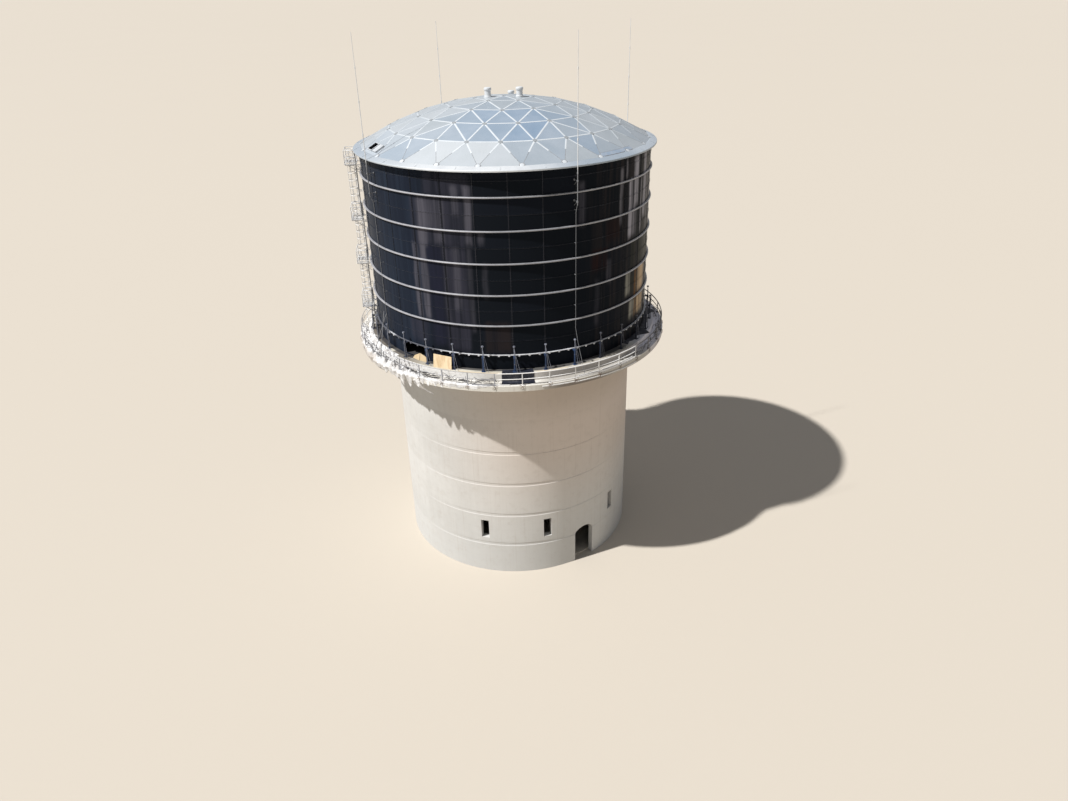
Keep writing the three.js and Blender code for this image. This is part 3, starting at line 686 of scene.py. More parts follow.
# The streaks are partly rain and dust runs and partly painted reflections; the pale, sandy and mossy ones on
# the right are painted reflections of the surroundings.
# Each streak: its left and right azimuth, its foot and top, its colour and its share.
streaks = (
    (-37.0, -15.5, 14.75, 16.5, mauve, 0.75), (-30.5, -13.0, 16.5, 17.4, mauve, 0.6),
    (-42.0, -33.5, 10.9, 11.95, mauve, 0.7), (-25.0, -15.5, 10.8, 14.8, mauve, 0.85),
    (-31.5, -25.0, 10.9, 14.85, navy, 0.9), (-34.4, -30.2, 14.7, 16.5, grey, 1.0),
    (-34.2, -31.3, 11.9, 14.85, grey, 0.95), (-37.8, -35.2, 11.9, 14.85, grey, 0.85),
    (-30.2, -27.6, 15.3, 16.5, grey, 0.7), (-27.0, -23.2, 14.85, 16.5, grey, 0.6),
    (-24.4, -23.2, 11.9, 14.8, grey, 0.5), (-20.8, -18.2, 12.4, 14.85, grey, 0.55),
    (-19.9, -17.4, 15.9, 17.0, grey, 0.7), (-15.4, -12.8, 14.85, 17.0, grey, 1.0),
    (-15.1, -13.4, 11.6, 14.85, grey, 0.45), (-10.8, -8.4, 14.9, 15.4, grey, 0.6),
    (-9.8, -8.0, 12.9, 14.3, grey, 0.3), (-9.8, -0.4, 10.8, 12.1, sepia, 0.75),
    (25.4, 27.8, 15.3, 16.9, grey, 0.6), (38.2, 40.8, 12.9, 13.9, grey, 0.6),
    (32.6, 34.8, 11.4, 13.3, grey, 0.35), (31.5, 38.5, 13.5, 14.4, russet, 0.7),
    (38.0, 46.0, 14.5, 15.4, maroon, 0.6), (45.1, 46.7, 15.0, 17.1, lilac, 0.35),
    (48.2, 49.5, 16.6, 17.35, lilac, 0.35), (50.9, 53.4, 14.38, 16.6, lilac, 1.0),
    (54.4, 58.0, 15.5, 17.35, lilac, 1.0), (54.0, 55.5, 14.38, 15.7, lilac, 0.6),
    (55.6, 57.6, 14.38, 15.5, lilac, 0.25), (60.2, 61.7, 14.38, 16.5, lilac, 0.75),
    (63.4, 66.6, 14.9, 17.35, lilac, 0.8), (67.8, 69.8, 14.38, 16.8, lilac, 0.3),
    (71.2, 75.0, 14.38, 17.35, lilac, 0.3), (54.0, 57.0, 13.1, 14.3, moss, 0.9),
    (60.0, 80.0, 13.2, 14.3, moss, 0.9), (50.4, 53.6, 12.1, 13.1, cream, 0.95),
    (54.0, 57.0, 12.1, 12.9, moss, 0.9), (57.6, 59.0, 11.05, 13.1, umber, 1.0),
    (59.6, 69.0, 11.95, 13.1, sand, 1.0), (53.8, 57.8, 11.05, 11.85, cream, 0.85),
    (59.3, 68.0, 11.05, 11.85, sand, 1.0),
)


def blue_black_enamel():
    """Dark enamel, toned sheet by sheet, with a painted reflection of the sky on the left, the streaks,
    partly painted reflections, and a painted shadow line at some laps.
    """
    enamel = Finish("blue_black_enamel", light=(0.0075, 0.0092, 0.0122))
    azimuth, height = enamel.azimuth, enamel.height
    course = (height - shell_base) / shell_course
    sheet = enamel.vector((azimuth / sheet_angle).floor(), course.floor(), 0.0)
    sheet_tone = enamel.scattered("2D", vector=sheet)
    girder_row = (course / 2.0 - 0.5).floor()
    stretch = enamel.vector(enamel.x * 5.0, enamel.y * 5.0, height * 0.14 + girder_row * 0.8)
    fine = enamel.cloud(stretch, 1.0, 5.0, 0.6)
    left = enamel.sector(-178.0, -140.0, -38.0, -26.0)
    right = enamel.sector(24.0, 40.0, 140.0, 178.0)
    # Painted reflection: the left is painted bluer and lighter, and streaked blue, as the sky that the enamel
    # reflects there.
    enamel.layered(
        (left, (0.0125, 0.0168, 0.0272)),
        (fine.rise(0.42, 0.66) * left * 0.6, (0.020, 0.0285, 0.045)),
        (fine.rise(0.45, 0.62) * right * 0.6, (0.029, 0.024, 0.024)),
        (sheet_tone.rise(0.5, 1.0) * 0.25, (0.012, 0.014, 0.022)),
    )
    run_azimuth = azimuth + enamel.wrapped(0.12, 0.9, 2.0, 0.5) * 1.6 - 0.8
    run_height = height + enamel.grain(6.0, 3.0) * 0.2 - 0.1
    for start, end, foot, top, tone, share in streaks:
        soft = 0.45 + 0.35 * min(2.0, (end - start) / 3.0)
        across = run_azimuth.rise(start - soft, start + soft)
        across = across * (1.0 - run_azimuth.rise(end - soft, end + soft))
        upward = run_height.rise(foot - 0.1, foot + 0.25) * (1.0 - run_height.rise(top - 0.16, top + 0.08))
        enamel.layered((across * upward * (0.4 + 0.6 * fine.rise(0.36, 0.6)) * share, tone))
    # Painted shadow: a dark line along the upright laps either side of the front, as the shadow in the lap's
    # gap.
    lap_shadow_line = 1.0 - ((azimuth - 0.35) / sheet_angle + 0.5).fold().rise(0.014, 0.026)
    lap_shadow_side = enamel.sector(-40.0, -34.0, -18.0, -15.0) + azimuth.rise(20.0, 26.0)
    enamel.layered((lap_shadow_line * lap_shadow_side * 0.7, (0.007, 0.008, 0.010)))
    ripples = enamel.cloud(enamel.scaled(1.0, 0.8), 2.2, 4.0, 0.5)
    tint = (0.62, 0.76, 1.0, 1.0)
    return enamel.surface(
        (0.18, 0.22, fine), (0.01, 0.25, ripples), specular_ior_level=0.018, specular_tint=tint
    )


shell_inner, sheet_radius = shell_radius - 0.04, shell_radius - sheet_inset
shell_profile = [(shell_inner, shell_top), (shell_inner, shell_base), (sheet_radius, shell_base)]
for seam in seams:
    lap = ((-sheet_inset, -0.034), (0.0, -0.03), (0.0, 0.016), (-sheet_inset, 0.02))
    shell_profile += beside(shell_radius, seam, *lap)
shell_profile.append((sheet_radius, shell_top))
shell = Shape().lathe(shell_profile, 300).piece("tank_shell", blue_black_enamel())
missing_lap = math.degrees(sheet_lap / shell_radius)
missing_sheet = Shape().band(
    shell_radius - 0.2, shell_radius + 0.2, shell_base + sheet_lap, shell_base + shell_course - sheet_lap,
    12, missing_start + missing_lap, missing_end - missing_start - 2 * missing_lap,
)
carve(shell, [missing_sheet], 25.0)
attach(shell, "root")
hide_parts("shell_ring_1", "shell_ring_2", "shell_ring_3", "shell_ring_4")


class Pattern(Bench):
    """A geometry tree that repeats a piece, with named inputs and realized results."""

    def __init__(self, name, inputs):
        super().__init__(bpy.data.node_groups.new(name, "GeometryNodeTree"))
        inputs = {"Geometry": "Geometry", "Piece": "Object", **inputs, "Material": "Material"}
        for label, kind in inputs.items():
            self.tree.interface.new_socket(label, in_out="INPUT", socket_type=f"NodeSocket{kind}")
        self.tree.interface.new_socket("Geometry", in_out="OUTPUT", socket_type="NodeSocketGeometry")
        self.entry = self.node("NodeGroupInput")

    def given(self, label):
        return self.entry.other(label)

    def finished(self, points, values):
        """Puts the piece on the points, realized and painted."""
        shape = self.node("GeometryNodeObjectInfo", {}, {"Object": self.given("Piece")}).other("Geometry")
        values = {"Points": points, "Instance": shape, **values}
        placed = self.node("GeometryNodeInstanceOnPoints", {}, values)
        real = self.node("GeometryNodeRealizeInstances", {}, {"Geometry": placed})
        paint = {"Geometry": real, "Material": self.given("Material")}
        self.node("NodeGroupOutput", {}, {"Geometry": self.node("GeometryNodeSetMaterial", {}, paint)})
        return self

    def applied(self, name, mesh, model, finish, crease=30.0, **values):
        """Runs the tree on a mesh with copies of a shape, and keeps the plain mesh."""
        original = model.piece(f"{name}_original", finish)
        thing = shown(name, mesh)
        repeat = thing.modifiers.new(self.tree.name, "NODES")
        repeat.node_group = self.tree
        items = self.tree.interface.items_tree
        sockets = {item.name: item.identifier for item in items if item.in_out == "INPUT"}
        for label, value in {"piece": original, "material": finish, **values}.items():
            repeat[sockets[label.replace("_", " ").title()]] = value
        settle(thing)
        bpy.data.objects.remove(original)
        soften(thing, crease)
        return thing


def ring_pattern():
    """A tree that repeats a piece in columns round the axis and in rows up it."""
    numbers = dict.fromkeys(("Columns", "Rows"), "Int")
    measures = dict.fromkeys(("First Angle", "Angle Step", "Base Height", "Row Step"), "Float")
    pattern = Pattern("round_the_tower", {**numbers, **measures})
    index = pattern.node("GeometryNodeInputIndex")
    columns = pattern.given("Columns")
    angle = pattern.given("First Angle") + index % columns * pattern.given("Angle Step")
    height = pattern.given("Base Height") + (index / columns).floor() * pattern.given("Row Step")
    stations = {"Count": columns * pattern.given("Rows"), "Position": pattern.vector(0.0, 0.0, height)}
    points = pattern.node("GeometryNodePoints", {}, stations)
    return pattern.finished(points, {"Rotation": pattern.vector(0.0, 0.0, angle * (math.pi / 180.0))})


round_the_tower = ring_pattern()


def repeated(name, model, finish, columns, step, first=0.0, rows=1, base=0.0, row_step=0.0):
    """Copies of one shape round the tower; the shape is drawn at azimuth 0."""
    return round_the_tower.applied(
        name, bpy.data.meshes.new(name), model, finish, columns=columns, angle_step=step,
        first_angle=first, rows=rows, base_height=base, row_step=row_step,
    )


def merged(name, *things):
    """Several finished objects of one material as one piece."""
    mesh = bpy.data.meshes.new(name)
    work = bmesh.new()
    for thing in things:
        work.from_mesh(thing.data)
    work.to_mesh(mesh)
    work.free()
    mesh.materials.append(things[0].data.materials[0])
    for thing in things:
        bpy.data.objects.remove(thing)
    return shown(name, mesh)


# Sheet laps: dark sealant squeezed out of every lap, as a thin bead on the upright seams and another along
# the level seams, which is lighter, less so on the right. The beads in front are lighter too.
bead_low = 0.0355
sealant_finish = Finish(
    "grey_sealant", (4.0, 6.0, 0.7), (0.35, 0.7), (0.016, 0.018, 0.024), (0.010, 0.011, 0.015)
)
sealant_level = ((sealant_finish.height - shell_base + bead_low) / shell_course).fold().rise(0.468, 0.482)
sealant_level = sealant_level * (1.0 - sealant_finish.azimuth.rise(30.0, 60.0) * 0.8)
grey_sealant = sealant_finish.layered(
    (sealant_level * (0.55 + 0.5 * sealant_finish.clouds), (0.085, 0.088, 0.105)),
    (sealant_finish.sector(-18.0, -14.0, 20.0, 24.0) * 0.85, (0.046, 0.047, 0.056)),
).surface((0.5, 0.3), specular_ior_level=0.12)
upright_low = seams[0]


def upright_bead(low, high):
    return Shape().box((-0.007, -shell_radius - 0.003, low), (0.007, -shell_radius + 0.012, high))


level_beads = Shape()
for seam in seams:
    level_beads.lathe(beside(shell_radius, seam, (-0.01, -0.028), (0.001, -0.033), (-0.01, -0.043)), 180)
beads = merged(
    "sealant_beads",
    level_beads.piece("level_beads", grey_sealant),
    repeated("upright_beads", upright_bead(upright_low, shell_top), grey_sealant, 30, sheet_angle),
    repeated("low_beads", upright_bead(shell_base, upright_low), grey_sealant, 29, sheet_angle, missing_end),
)
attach(beads, "root")

# Shell bolts: dark plastic-capped bolts, one row through each level lap and two beside each
# upright seam.
capped_bolts = Finish(
    "capped_bolts", (8.0, 3.0), (0.4, 0.65), (0.015, 0.017, 0.024), (0.034, 0.036, 0.046)
).surface((0.3, 0.2), specular_ior_level=0.12)
bolts_round = 330
bolts_up = 66


def bolt_head(radius, along, depth):
    """A six-sided domed head standing out from a wall of this radius at azimuth 0."""
    turns = [math.tau * step / 6 for step in range(6)]
    return Shape().loft([
        [(along + size * math.cos(turn), -radius - out, size * math.sin(turn)) for turn in turns]
        for size, out in ((0.009, 0.0), (0.009, depth * 0.6), (0.006, depth))
    ])


level_bolts = repeated(
    "level_bolts", bolt_head(shell_radius, 0.0, 0.009), capped_bolts,
    bolts_round, 360.0 / bolts_round, 0.5, 12, upright_low - 0.007, shell_course,
)
pair = bolt_head(sheet_radius, 0.028, 0.011).join(bolt_head(sheet_radius, -0.028, 0.011))
upright_bolts = repeated(
    "upright_bolts", pair, capped_bolts, 30, sheet_angle, 0.0, bolts_up, upright_low + 0.06, 0.1005
)
for bolts in (level_bolts, upright_bolts):
    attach(bolts, "root")

# Wind girders: galvanised rolled rings bolted round the shell at every second lap, spliced
# sheet by sheet.
girder_step = 2 * shell_course
girder_heights = seams[2::2]
zinc_finish = Finish("dull_zinc", (1.6, 6.0, 0.6), (0.35, 0.65), (0.345, 0.345, 0.365), (0.27, 0.27, 0.29))
zinc_spangle = zinc_finish.pits(zinc_finish.place, 14.0)
zinc_painted_light_and_shade = zinc_finish.sector(20.0, 36.0, 110.0, 140.0)
zinc_lit_top = (((zinc_finish.height - shell_base) / shell_course + 0.5) % 1.0 - 0.5).rise(-0.01, 0.012)
dull_zinc = zinc_finish.layered(
    (zinc_finish.sector(-16.0, 2.0, 16.0, 32.0) * 0.6, (0.165, 0.167, 0.178)),
    # Painted light and shade: on the right the girders' tops are painted lighter and their faces below dark,
    # as the sun lights them.
    (zinc_painted_light_and_shade * 0.85, (0.62, 0.61, 0.62)),
    (zinc_painted_light_and_shade * (1.0 - zinc_lit_top) * 0.9, (0.10, 0.10, 0.11)),
    (zinc_spangle.rise(0.1, 0.5) * 0.15, (0.42, 0.42, 0.44)),
).surface((0.42, 0.2, zinc_spangle), (0.003, 0.4), metallic=0.08 + 0.1 * zinc_finish.clouds)
girder_profile = (
    (5.7305, -0.0275), (5.77, -0.0275), (5.788, -0.023), (5.797, -0.012), (5.80, 0.0),
    (5.797, 0.012), (5.788, 0.023), (5.77, 0.0275), (5.7305, 0.0275),
)
girders = Shape()
for girder in girder_heights:
    girders.lathe(beside(0.0, girder, *girder_profile), 240)
splice = Shape().box((-0.09, -5.782, 0.026), (0.09, -5.74, 0.0305))
for along in (-0.06, -0.025, 0.025, 0.06):
    splice.pipe([(along, -5.763, 0.030), (along, -5.763, 0.038)], 0.0085, 6)
wind_girders = merged(
    "wind_girders",
    girders.piece("girder_rings", dull_zinc),
    repeated("girder_splices", splice, dull_zinc, 30, sheet_angle, 6.0, 5, girder_heights[0], girder_step),
)
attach(wind_girders, "root")
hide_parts(*[f"wind_girder_{count}" for count in range(1, 6)])

# Lifting ring: a bright angle clamped under the lowest lap, with a hooked clip every few
# bolts, which the jacks lift the tank by.
lifting_height = upright_low
bright_finish = Finish("bright_zinc", (5.0, 6.0, 0.7), (0.4, 0.7), (0.72, 0.73, 0.76), (0.36, 0.36, 0.38))
bright_left = bright_finish.sector(-59.0, -57.5, -54.0, -52.5)
bright_share = (bright_finish.azimuth.rise(-31.0, -26.0) + bright_left).least(1.0)
bright_zinc = bright_finish.layered(
    (0.9 - 0.9 * bright_share, (0.075, 0.08, 0.10)),
).surface((0.35, 0.3), (0.004, 0.5), metallic=0.2)
angle_profile = (
    (5.7305, -0.018), (5.742, -0.018), (5.742, 0.014), (5.80, 0.016), (5.80, 0.026), (5.7305, 0.026),
)
lifting_angle = Shape().lathe(beside(0.0, lifting_height, *angle_profile), 240)
clip_outline = ((-0.04, 0.03), (-0.042, 0.0), (-0.022, -0.03), (0.022, -0.03), (0.042, 0.0), (0.04, 0.03))
clip_corners = beside(0.0, lifting_height, *clip_outline)
clip = Shape().loft([[(x, y, z) for x, z in clip_corners] for y in (-5.812, -5.80)])
clip.box((-0.034, -5.812, lifting_height + 0.022), (0.034, -5.74, lifting_height + 0.032))
lifting_gear = merged(
    "lifting_ring",
    lifting_angle.piece("lifting_angle", bright_zinc),
    repeated("lifting_clips", clip, bright_zinc, 96, 3.75, 2.17),
)
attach(lifting_gear, "root")

# Lifting jacks: thirty-two blue posts on the plinth, each with a foot plate, two gussets, an arm
# to the lifting ring, a screw rod under a round steel head and thin raking stays.
jacks = 32
jack_step = 360.0 / jacks
jack_first = 0.3
jack_radius = 5.96
jack_top = 11.21
post_half = 0.024
paint_finish = Finish(
    "worn_blue_paint", (0.8, 3.0), (0.35, 0.65), (0.013, 0.028, 0.072), (0.024, 0.050, 0.118)
)
paint_wear = paint_finish.grain(7.0, 8.0, 0.7)
worn_blue_paint = paint_finish.layered(
    (paint_wear.rise(0.60, 0.68), (0.28, 0.27, 0.27)),
    # Painted shade: the posts on the right, in the tank's shadow, are painted nearly black.
    (paint_finish.sector(25.0, 33.0, 120.0, 150.0) * 0.85, (0.012, 0.014, 0.022)),
    ((1.0 - paint_finish.azimuth.rise(-40.0, -26.0)) * 0.75, (0.035, 0.038, 0.048)),
).surface((0.4, 0.3, paint_wear), (0.003, 0.6, paint_wear))
post = Shape()
for half_x, near, far, low, high in (
    (post_half, post_half, -post_half, plinth_top + 0.012, lifting_height + 0.06),
    (0.075, 0.07, -0.07, plinth_top, plinth_top + 0.012),
    (0.035, jack_radius - 5.815, post_half, lifting_height - 0.018, lifting_height + 0.018),
    (0.038, 0.036, -0.036, lifting_height - 0.04, lifting_height + 0.04),
):
    post.box((-half_x, -jack_radius + far, low), (half_x, -jack_radius + near, high))
for side in (-1, 1):
    gusset = [(side * x, plinth_top + z) for x, z in ((post_half, 0.012), (0.06, 0.012), (post_half, 0.2))]
    post.loft([[(x, -jack_radius + y, z) for x, z in gusset] for y in (-0.005, 0.005)])
jack_posts = repeated("jack_posts", post, worn_blue_paint, jacks, jack_step, jack_first)
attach(jack_posts, "root")

screw_pitch = 0.012
screw_finish = Finish(
    "greasy_screw_steel", (11.0, 5.0, 0.7), (0.4, 0.65), (0.30, 0.32, 0.38), (0.14, 0.15, 0.19)
)
screw_steel = screw_finish.layered(
    # Painted shade: the heads and stays on the right, in the tank's shadow, are painted dark.
    (screw_finish.sector(25.0, 33.0, 120.0, 150.0) * 0.75, (0.03, 0.03, 0.04)),
).surface((0.4, 0.25), (0.002, 0.8, (screw_finish.height / screw_pitch).fold()), metallic=0.3)
head = Shape()
for low, high, size in (
    (-0.46, -0.045, 0.0135), (-0.045, -0.035, 0.036), (-0.035, 0.0, 0.046), (0.0, 0.012, 0.026),
):
    head.pipe([(0, -jack_radius, jack_top + low), (0, -jack_radius, jack_top + high)], size, 12)
for reach, along in ((0.06, 0.2), (0.075, 0.09)):
    upper, lower = (0.012, -jack_radius - 0.02, jack_top - 0.16), (along, -jack_radius - reach, plinth_top)
    head.pipe([upper, (*lower[:2], plinth_top + 0.006)], 0.0065, 6)
    head.pipe([lower, (*lower[:2], plinth_top + 0.012)], 0.02)
jack_heads = repeated("jack_heads_and_stays", head, screw_steel, jacks, jack_step, jack_first)
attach(jack_heads, "root")
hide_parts(*[f"jacking_ring_{count}" for count in range(1, 5)])

# Walkway handrail: posts of square tube bolted to the rim, with a top rail and a knee rail of round tube, in
# chipped off-white paint. The rails are thinner on the left, where cement has splashed them, and painted dark
# on the right as shade.
rail_radius = 6.49
rail_posts = 40
rail_step = 360.0 / rail_posts
rail_first = 2.6
rail_base = deck_top + 0.008
rail_finish = Finish(
    "off_white_paint", (14.0, 6.0, 0.7), (0.60, 0.68), (0.76, 0.75, 0.735), (0.40, 0.34, 0.30)
)
off_white_paint = rail_finish.layered(
    # Painted shade: the rails on the right, in the tank's shadow, are painted dark.
    (rail_finish.sector(46.6, 48.0, 118.0, 121.0) * 0.9, (0.10, 0.095, 0.10)),
    (rail_finish.sector(-96.0, -94.0, -6.4, -5.2) * 0.85, (0.20, 0.205, 0.23)),
).surface((0.45, 0.3), (0.002, 0.6))
rail_post = Shape()
for x, y, half_x, low, high in (
    (0.0, 0.0, 0.016, rail_base, deck_top + 0.475),
    (0.0, 0.0, 0.045, deck_top, rail_base),
    *[(x, y, 0.007, rail_base, rail_base + 0.01) for x in (-0.032, 0.032) for y in (-0.032, 0.032)],
):
    rail_post.box((x - half_x, -rail_radius + y - half_x, low), (x + half_x, -rail_radius + y + half_x, high))
rails = Shape()
for height, size, thin in ((deck_top + 0.48, 0.019, 0.01045), (deck_top + 0.25, 0.0165, 0.009075)):
    for tube, steps, start, sweep in ((size, 120, -5.0, 270.0), (thin, 40, -95.0, 90.0)):
        turns = [math.tau * step / 8 for step in range(8)]
        ring = [(rail_radius + tube * math.cos(turn), height + tube * math.sin(turn)) for turn in turns]
        rails.lathe(ring, steps, start, sweep)
handrail = merged(
    "walkway_handrail",
    repeated("rail_posts", rail_post, off_white_paint, rail_posts, rail_step, rail_first),
    rails.piece("rail_tubes", off_white_paint),
)
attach(handrail, "root")
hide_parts(*[f"handrail_{count}" for count in range(1, 5)])

# Toe boards: white painted boards on edge along the front right of the walkway, a second row
# further in, and a third that runs down across the rim.
toe_boards = Shape()
for radius, low, high, start, end in (
    (6.515, 0.0, 0.055, -14.0, -1.6), (6.515, 0.0, 0.06, 12.0, 20.4), (6.52, 0.0, 0.07, 20.8, 29.4),
    (6.52, 0.0, 0.07, 29.8, 38.4), (6.515, 0.0, 0.065, 38.8, 47.4), (6.40, 0.0, 0.05, 22.0, 30.0),
    (6.405, 0.0, 0.055, 31.5, 39.0), (6.40, 0.0, 0.05, 39.4, 47.0), (6.562, -0.10, -0.065, 9.0, 20.0),
    (6.562, -0.125, -0.09, 20.4, 29.6), (6.562, -0.15, -0.115, 30.0, 38.6),
    (6.562, -0.175, -0.14, 39.0, 47.4),
):
    toe_boards.band(radius - 0.012, radius + 0.012, deck_top + low, deck_top + high, 10, start, end - start)
toe_board_row = toe_boards.piece("toe_boards", off_white_paint)
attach(toe_board_row, "root")

# Form ties: two bent rusty rods left in the rim below each post, where the rim's shutter was
# held.
rusty_steel = Finish(
    "rusty_steel", (12.0, 7.0, 0.7), (0.4, 0.65), (0.075, 0.055, 0.045), (0.22, 0.11, 0.06)
).surface((0.7, 0.25), (0.004, 0.8))
tie = Shape()
for rod in (
    ((-0.10, -6.50, 0.010), (-0.02, -6.565, 0.012), (0.03, -6.575, -0.06), (0.005, -6.568, -0.15)),
    ((0.11, -6.52, 0.012), (0.05, -6.572, -0.02), (-0.055, -6.574, -0.065), (-0.075, -6.562, -0.12)),
):
    tie.pipe([(x, y, deck_top + z) for x, y, z in rod], 0.0065, 6)
rim_ties = repeated("rim_ties", tie, rusty_steel, rail_posts, rail_step, rail_first)
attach(rim_ties, "root")

# Loose scrap: short rods, battens and broken pieces of board left on the walkway, most of them
# on the left among the spilt cement.
black_wire = Finish(
    "black_tie_wire", (9.0, 5.0, 0.6), (0.4, 0.7), (0.045, 0.044, 0.048), (0.13, 0.12, 0.115)
).surface((0.55, 0.3), (0.002, 0.6))
scrap = Shape()
chance = random.Random(11)
on_the_left, not_behind, scrap_count = 120, 190, 230
for number in range(scrap_count):
    left = number < on_the_left
    if left:
        azimuth = chance.triangular(crust_start, -6.0, -26.0)
    elif number < not_behind:
        azimuth = chance.uniform(46.0, 128.0)
    else:
        azimuth = chance.uniform(128.0, 260.0)
    radius = chance.uniform(6.2, 6.47)
    length = chance.uniform(0.08, 0.42 if left else 0.34)
    spin = chance.uniform(-0.5, 0.5) if chance.random() < 0.6 else chance.uniform(-1.5, 1.5)
    lift = chance.uniform(0.012, 0.03) + (crust_depth(azimuth, radius) if left else 0.0)
    middle = at(azimuth, radius, deck_top + lift)
    along = (outward(azimuth + 90.0) * math.cos(spin) + outward(azimuth) * math.sin(spin) * 0.4) * length / 2
    tip = Vector((0.0, 0.0, chance.uniform(-0.01, 0.02)))
    scrap.pipe([middle - along - tip, middle + along + tip], chance.uniform(0.006, 0.012), 5)
walkway_scrap = scrap.piece("walkway_scrap", black_wire)
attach(walkway_scrap, "root")

# Cut wire: lengths of dark tie wire and thin rod, bent and tangled, lying on the walkway and
# hanging over the rails on the left and the right.
wires = Shape()
for low, high, count, tallest in (
    (-95.0, -64.0, 22, 0.40), (-42.0, -5.0, 34, 0.20), (47.0, 74.0, 12, 0.3), (72.0, 104.0, 50, 0.44),
):
    for _ in range(count):
        azimuth = chance.uniform(low, high)
        radius = chance.uniform(6.17, 6.53)
        reach = chance.uniform(0.12, 0.5)
        turn = chance.uniform(0.0, math.tau)
        start_lift = chance.uniform(0.01, 0.05) + (crust_depth(azimuth, radius) if azimuth < 0.0 else 0.0)
        end_lift = start_lift + chance.random() ** 2 * tallest
        path = []
        for share in (0.0, 1 / 3, 2 / 3, 1.0):
            sideways = reach * (share - 0.5) * math.cos(turn)
            inward = reach * 0.4 * (share - 0.5) * math.sin(turn)
            bow = 0.05 * math.sin(math.pi * share) * math.sin(turn * 3.0)
            lift = start_lift + (end_lift - start_lift) * share + abs(bow)
            path.append(at(azimuth, min(6.56, max(6.15, radius + inward + bow)), deck_top + lift, sideways))
        wires.pipe(path, chance.uniform(0.005, 0.0095), 4)
tie_wires = wires.piece("cut_tie_wires", black_wire)
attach(tie_wires, "root")

# Membrane flaps: the rest of the black sheet, rucked up along the foot of the shell on the
# right, with two loose corners pulled out over the walkway.
flap_rows = []
for step in range(89):
    azimuth = 50.0 + 0.5 * step
    out = 5.90 + 0.05 * ripple(azimuth, 0.35, 6.0) + 0.03 * ripple(azimuth, 1.4, 9.0)
    for tip, width, reach in ((64.0, 3.8, 6.24), (87.5, 4.4, 6.25)):
        out = max(out, out + (reach - out) * (1.0 - abs(azimuth - tip) / width))
    out = min(out, 6.24)
    lift = 0.02 + 0.05 * abs(ripple(azimuth, 0.8, 2.0)) + 0.16 * (out - 5.85)
    middle = (5.74 + out) / 2
    outline = ((5.735, 0.03 + lift), (middle, 0.012 + lift), (out, 0.012), (out, 0.002), (5.735, 0.002))
    flap_rows.append([at(azimuth, radius, plinth_top + height) for radius, height in outline])
membrane_flaps = Shape().loft(flap_rows).piece("membrane_flaps", black_membrane, 40.0)
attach(membrane_flaps, "root")

# Eave skirt: a folded aluminium flashing between the shell's top and the dome, with a broad
# white gutter lip round it that stands out past the shell.
eave_radius = 5.67
eave_height = 17.6075
rim_radius = 5.9325
rim_height = 17.47
dome_turn = -2.2
white_finish = Finish(
    "white_flashing", (0.9, 6.0, 0.6), (0.4, 0.7), (0.63, 0.65, 0.665), (0.55, 0.57, 0.59)
)
# Painted shade: the flashing's rim is painted a darker blue-grey towards the left and the right, where it
# turns away from the light.
flashing_left_shade = (1.0 - white_finish.azimuth.rise(-70.0, -18.0)) * 0.8
flashing_right_shade = white_finish.azimuth.rise(0.0, 30.0) * 0.95 - white_finish.azimuth.rise(47.0, 58.0) * 0.25
white_flashing = white_finish.layered(
    (white_finish.stretched(6.0, 1.0, 5.0, 0.6).rise(0.58, 0.75) * 0.3, (0.42, 0.43, 0.45)),
    ((flashing_left_shade + flashing_right_shade) * white_finish.radius.rise(5.0, 5.5), (0.28, 0.33, 0.385)),
).surface((0.38, 0.2), (0.006, 0.4), metallic=0.15)
lip = ((-0.02, -0.012), (-0.006, -0.026), (0.0, -0.018), (0.0, 0.024), (-0.012, 0.036), (-0.05, 0.042))
flange = ((0.012, -0.0195), (-0.075, -0.0195), (-0.14, -0.048), (-0.14, -0.078))
skirt_profile = [
    (shell_inner, shell_top),
    (shell_radius, shell_top),
    (shell_radius + 0.004, rim_height + 0.02),
    *beside(rim_radius, rim_height, *lip),
    *beside(eave_radius, eave_height, *flange),
    (shell_inner, eave_height - 0.078),
]
seam_outline = beside(rim_radius, rim_height, (-0.045, 0.044), (-0.045, 0.05))
seam_outline += beside(eave_radius, eave_height, (0.04, -0.024), (0.04, -0.03))
seam_cap = Shape().loft([[(x, -radius, height) for radius, height in seam_outline] for x in (-0.02, 0.02)])
eave_skirt = merged(
    "eave_flashing",
    Shape().lathe(skirt_profile, 240).piece("skirt_rings", white_flashing),
    repeated("skirt_seams", seam_cap, white_flashing, 24, 15.0, dome_turn + 30.0),
)
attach(eave_skirt, "root")
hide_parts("eave_skirt")

# Dome sheets: flat triangular aluminium sheets in a lattice of beams, each bowed a little by its fixings, so
# that each takes the sky in its own tone. Over that, a painted blue reflection of the sky tints the front
# rows, and a painted sheen whitens the lowest row in front and the flanks. A hatchway is cut in the left
# front.
dome_rise = 1.548
dome_rings = 5
eave_nodes = 24
sphere_radius = (eave_radius**2 + dome_rise**2) / (2 * dome_rise)
sphere_centre = eave_height + dome_rise - sphere_radius
sheet_drop = 0.018
sheet_thickness = 0.025


def dome_height(radius):
    return sphere_centre + math.sqrt(sphere_radius**2 - radius**2)


def dome_ring(ring):
    """The lattice nodes of one ring, from the crown (0) to the eave (5)."""
    count = eave_nodes if ring == dome_rings else max(6 * ring, 1)
    first = dome_turn + 30.0 + (7.5 if ring == dome_rings else 0.0)
    radius = eave_radius * ring / dome_rings
    return [at(first + 360.0 * step / count, radius, dome_height(radius)) for step in range(count)]


rings = [dome_ring(ring) for ring in range(dome_rings + 1)]
lattice = [node for ring in rings for node in ring]
ring_start = [sum(len(nodes) for nodes in rings[:ring]) for ring in range(dome_rings + 1)]


def node_number(ring, step):
    return ring_start[ring] + step % len(rings[ring])


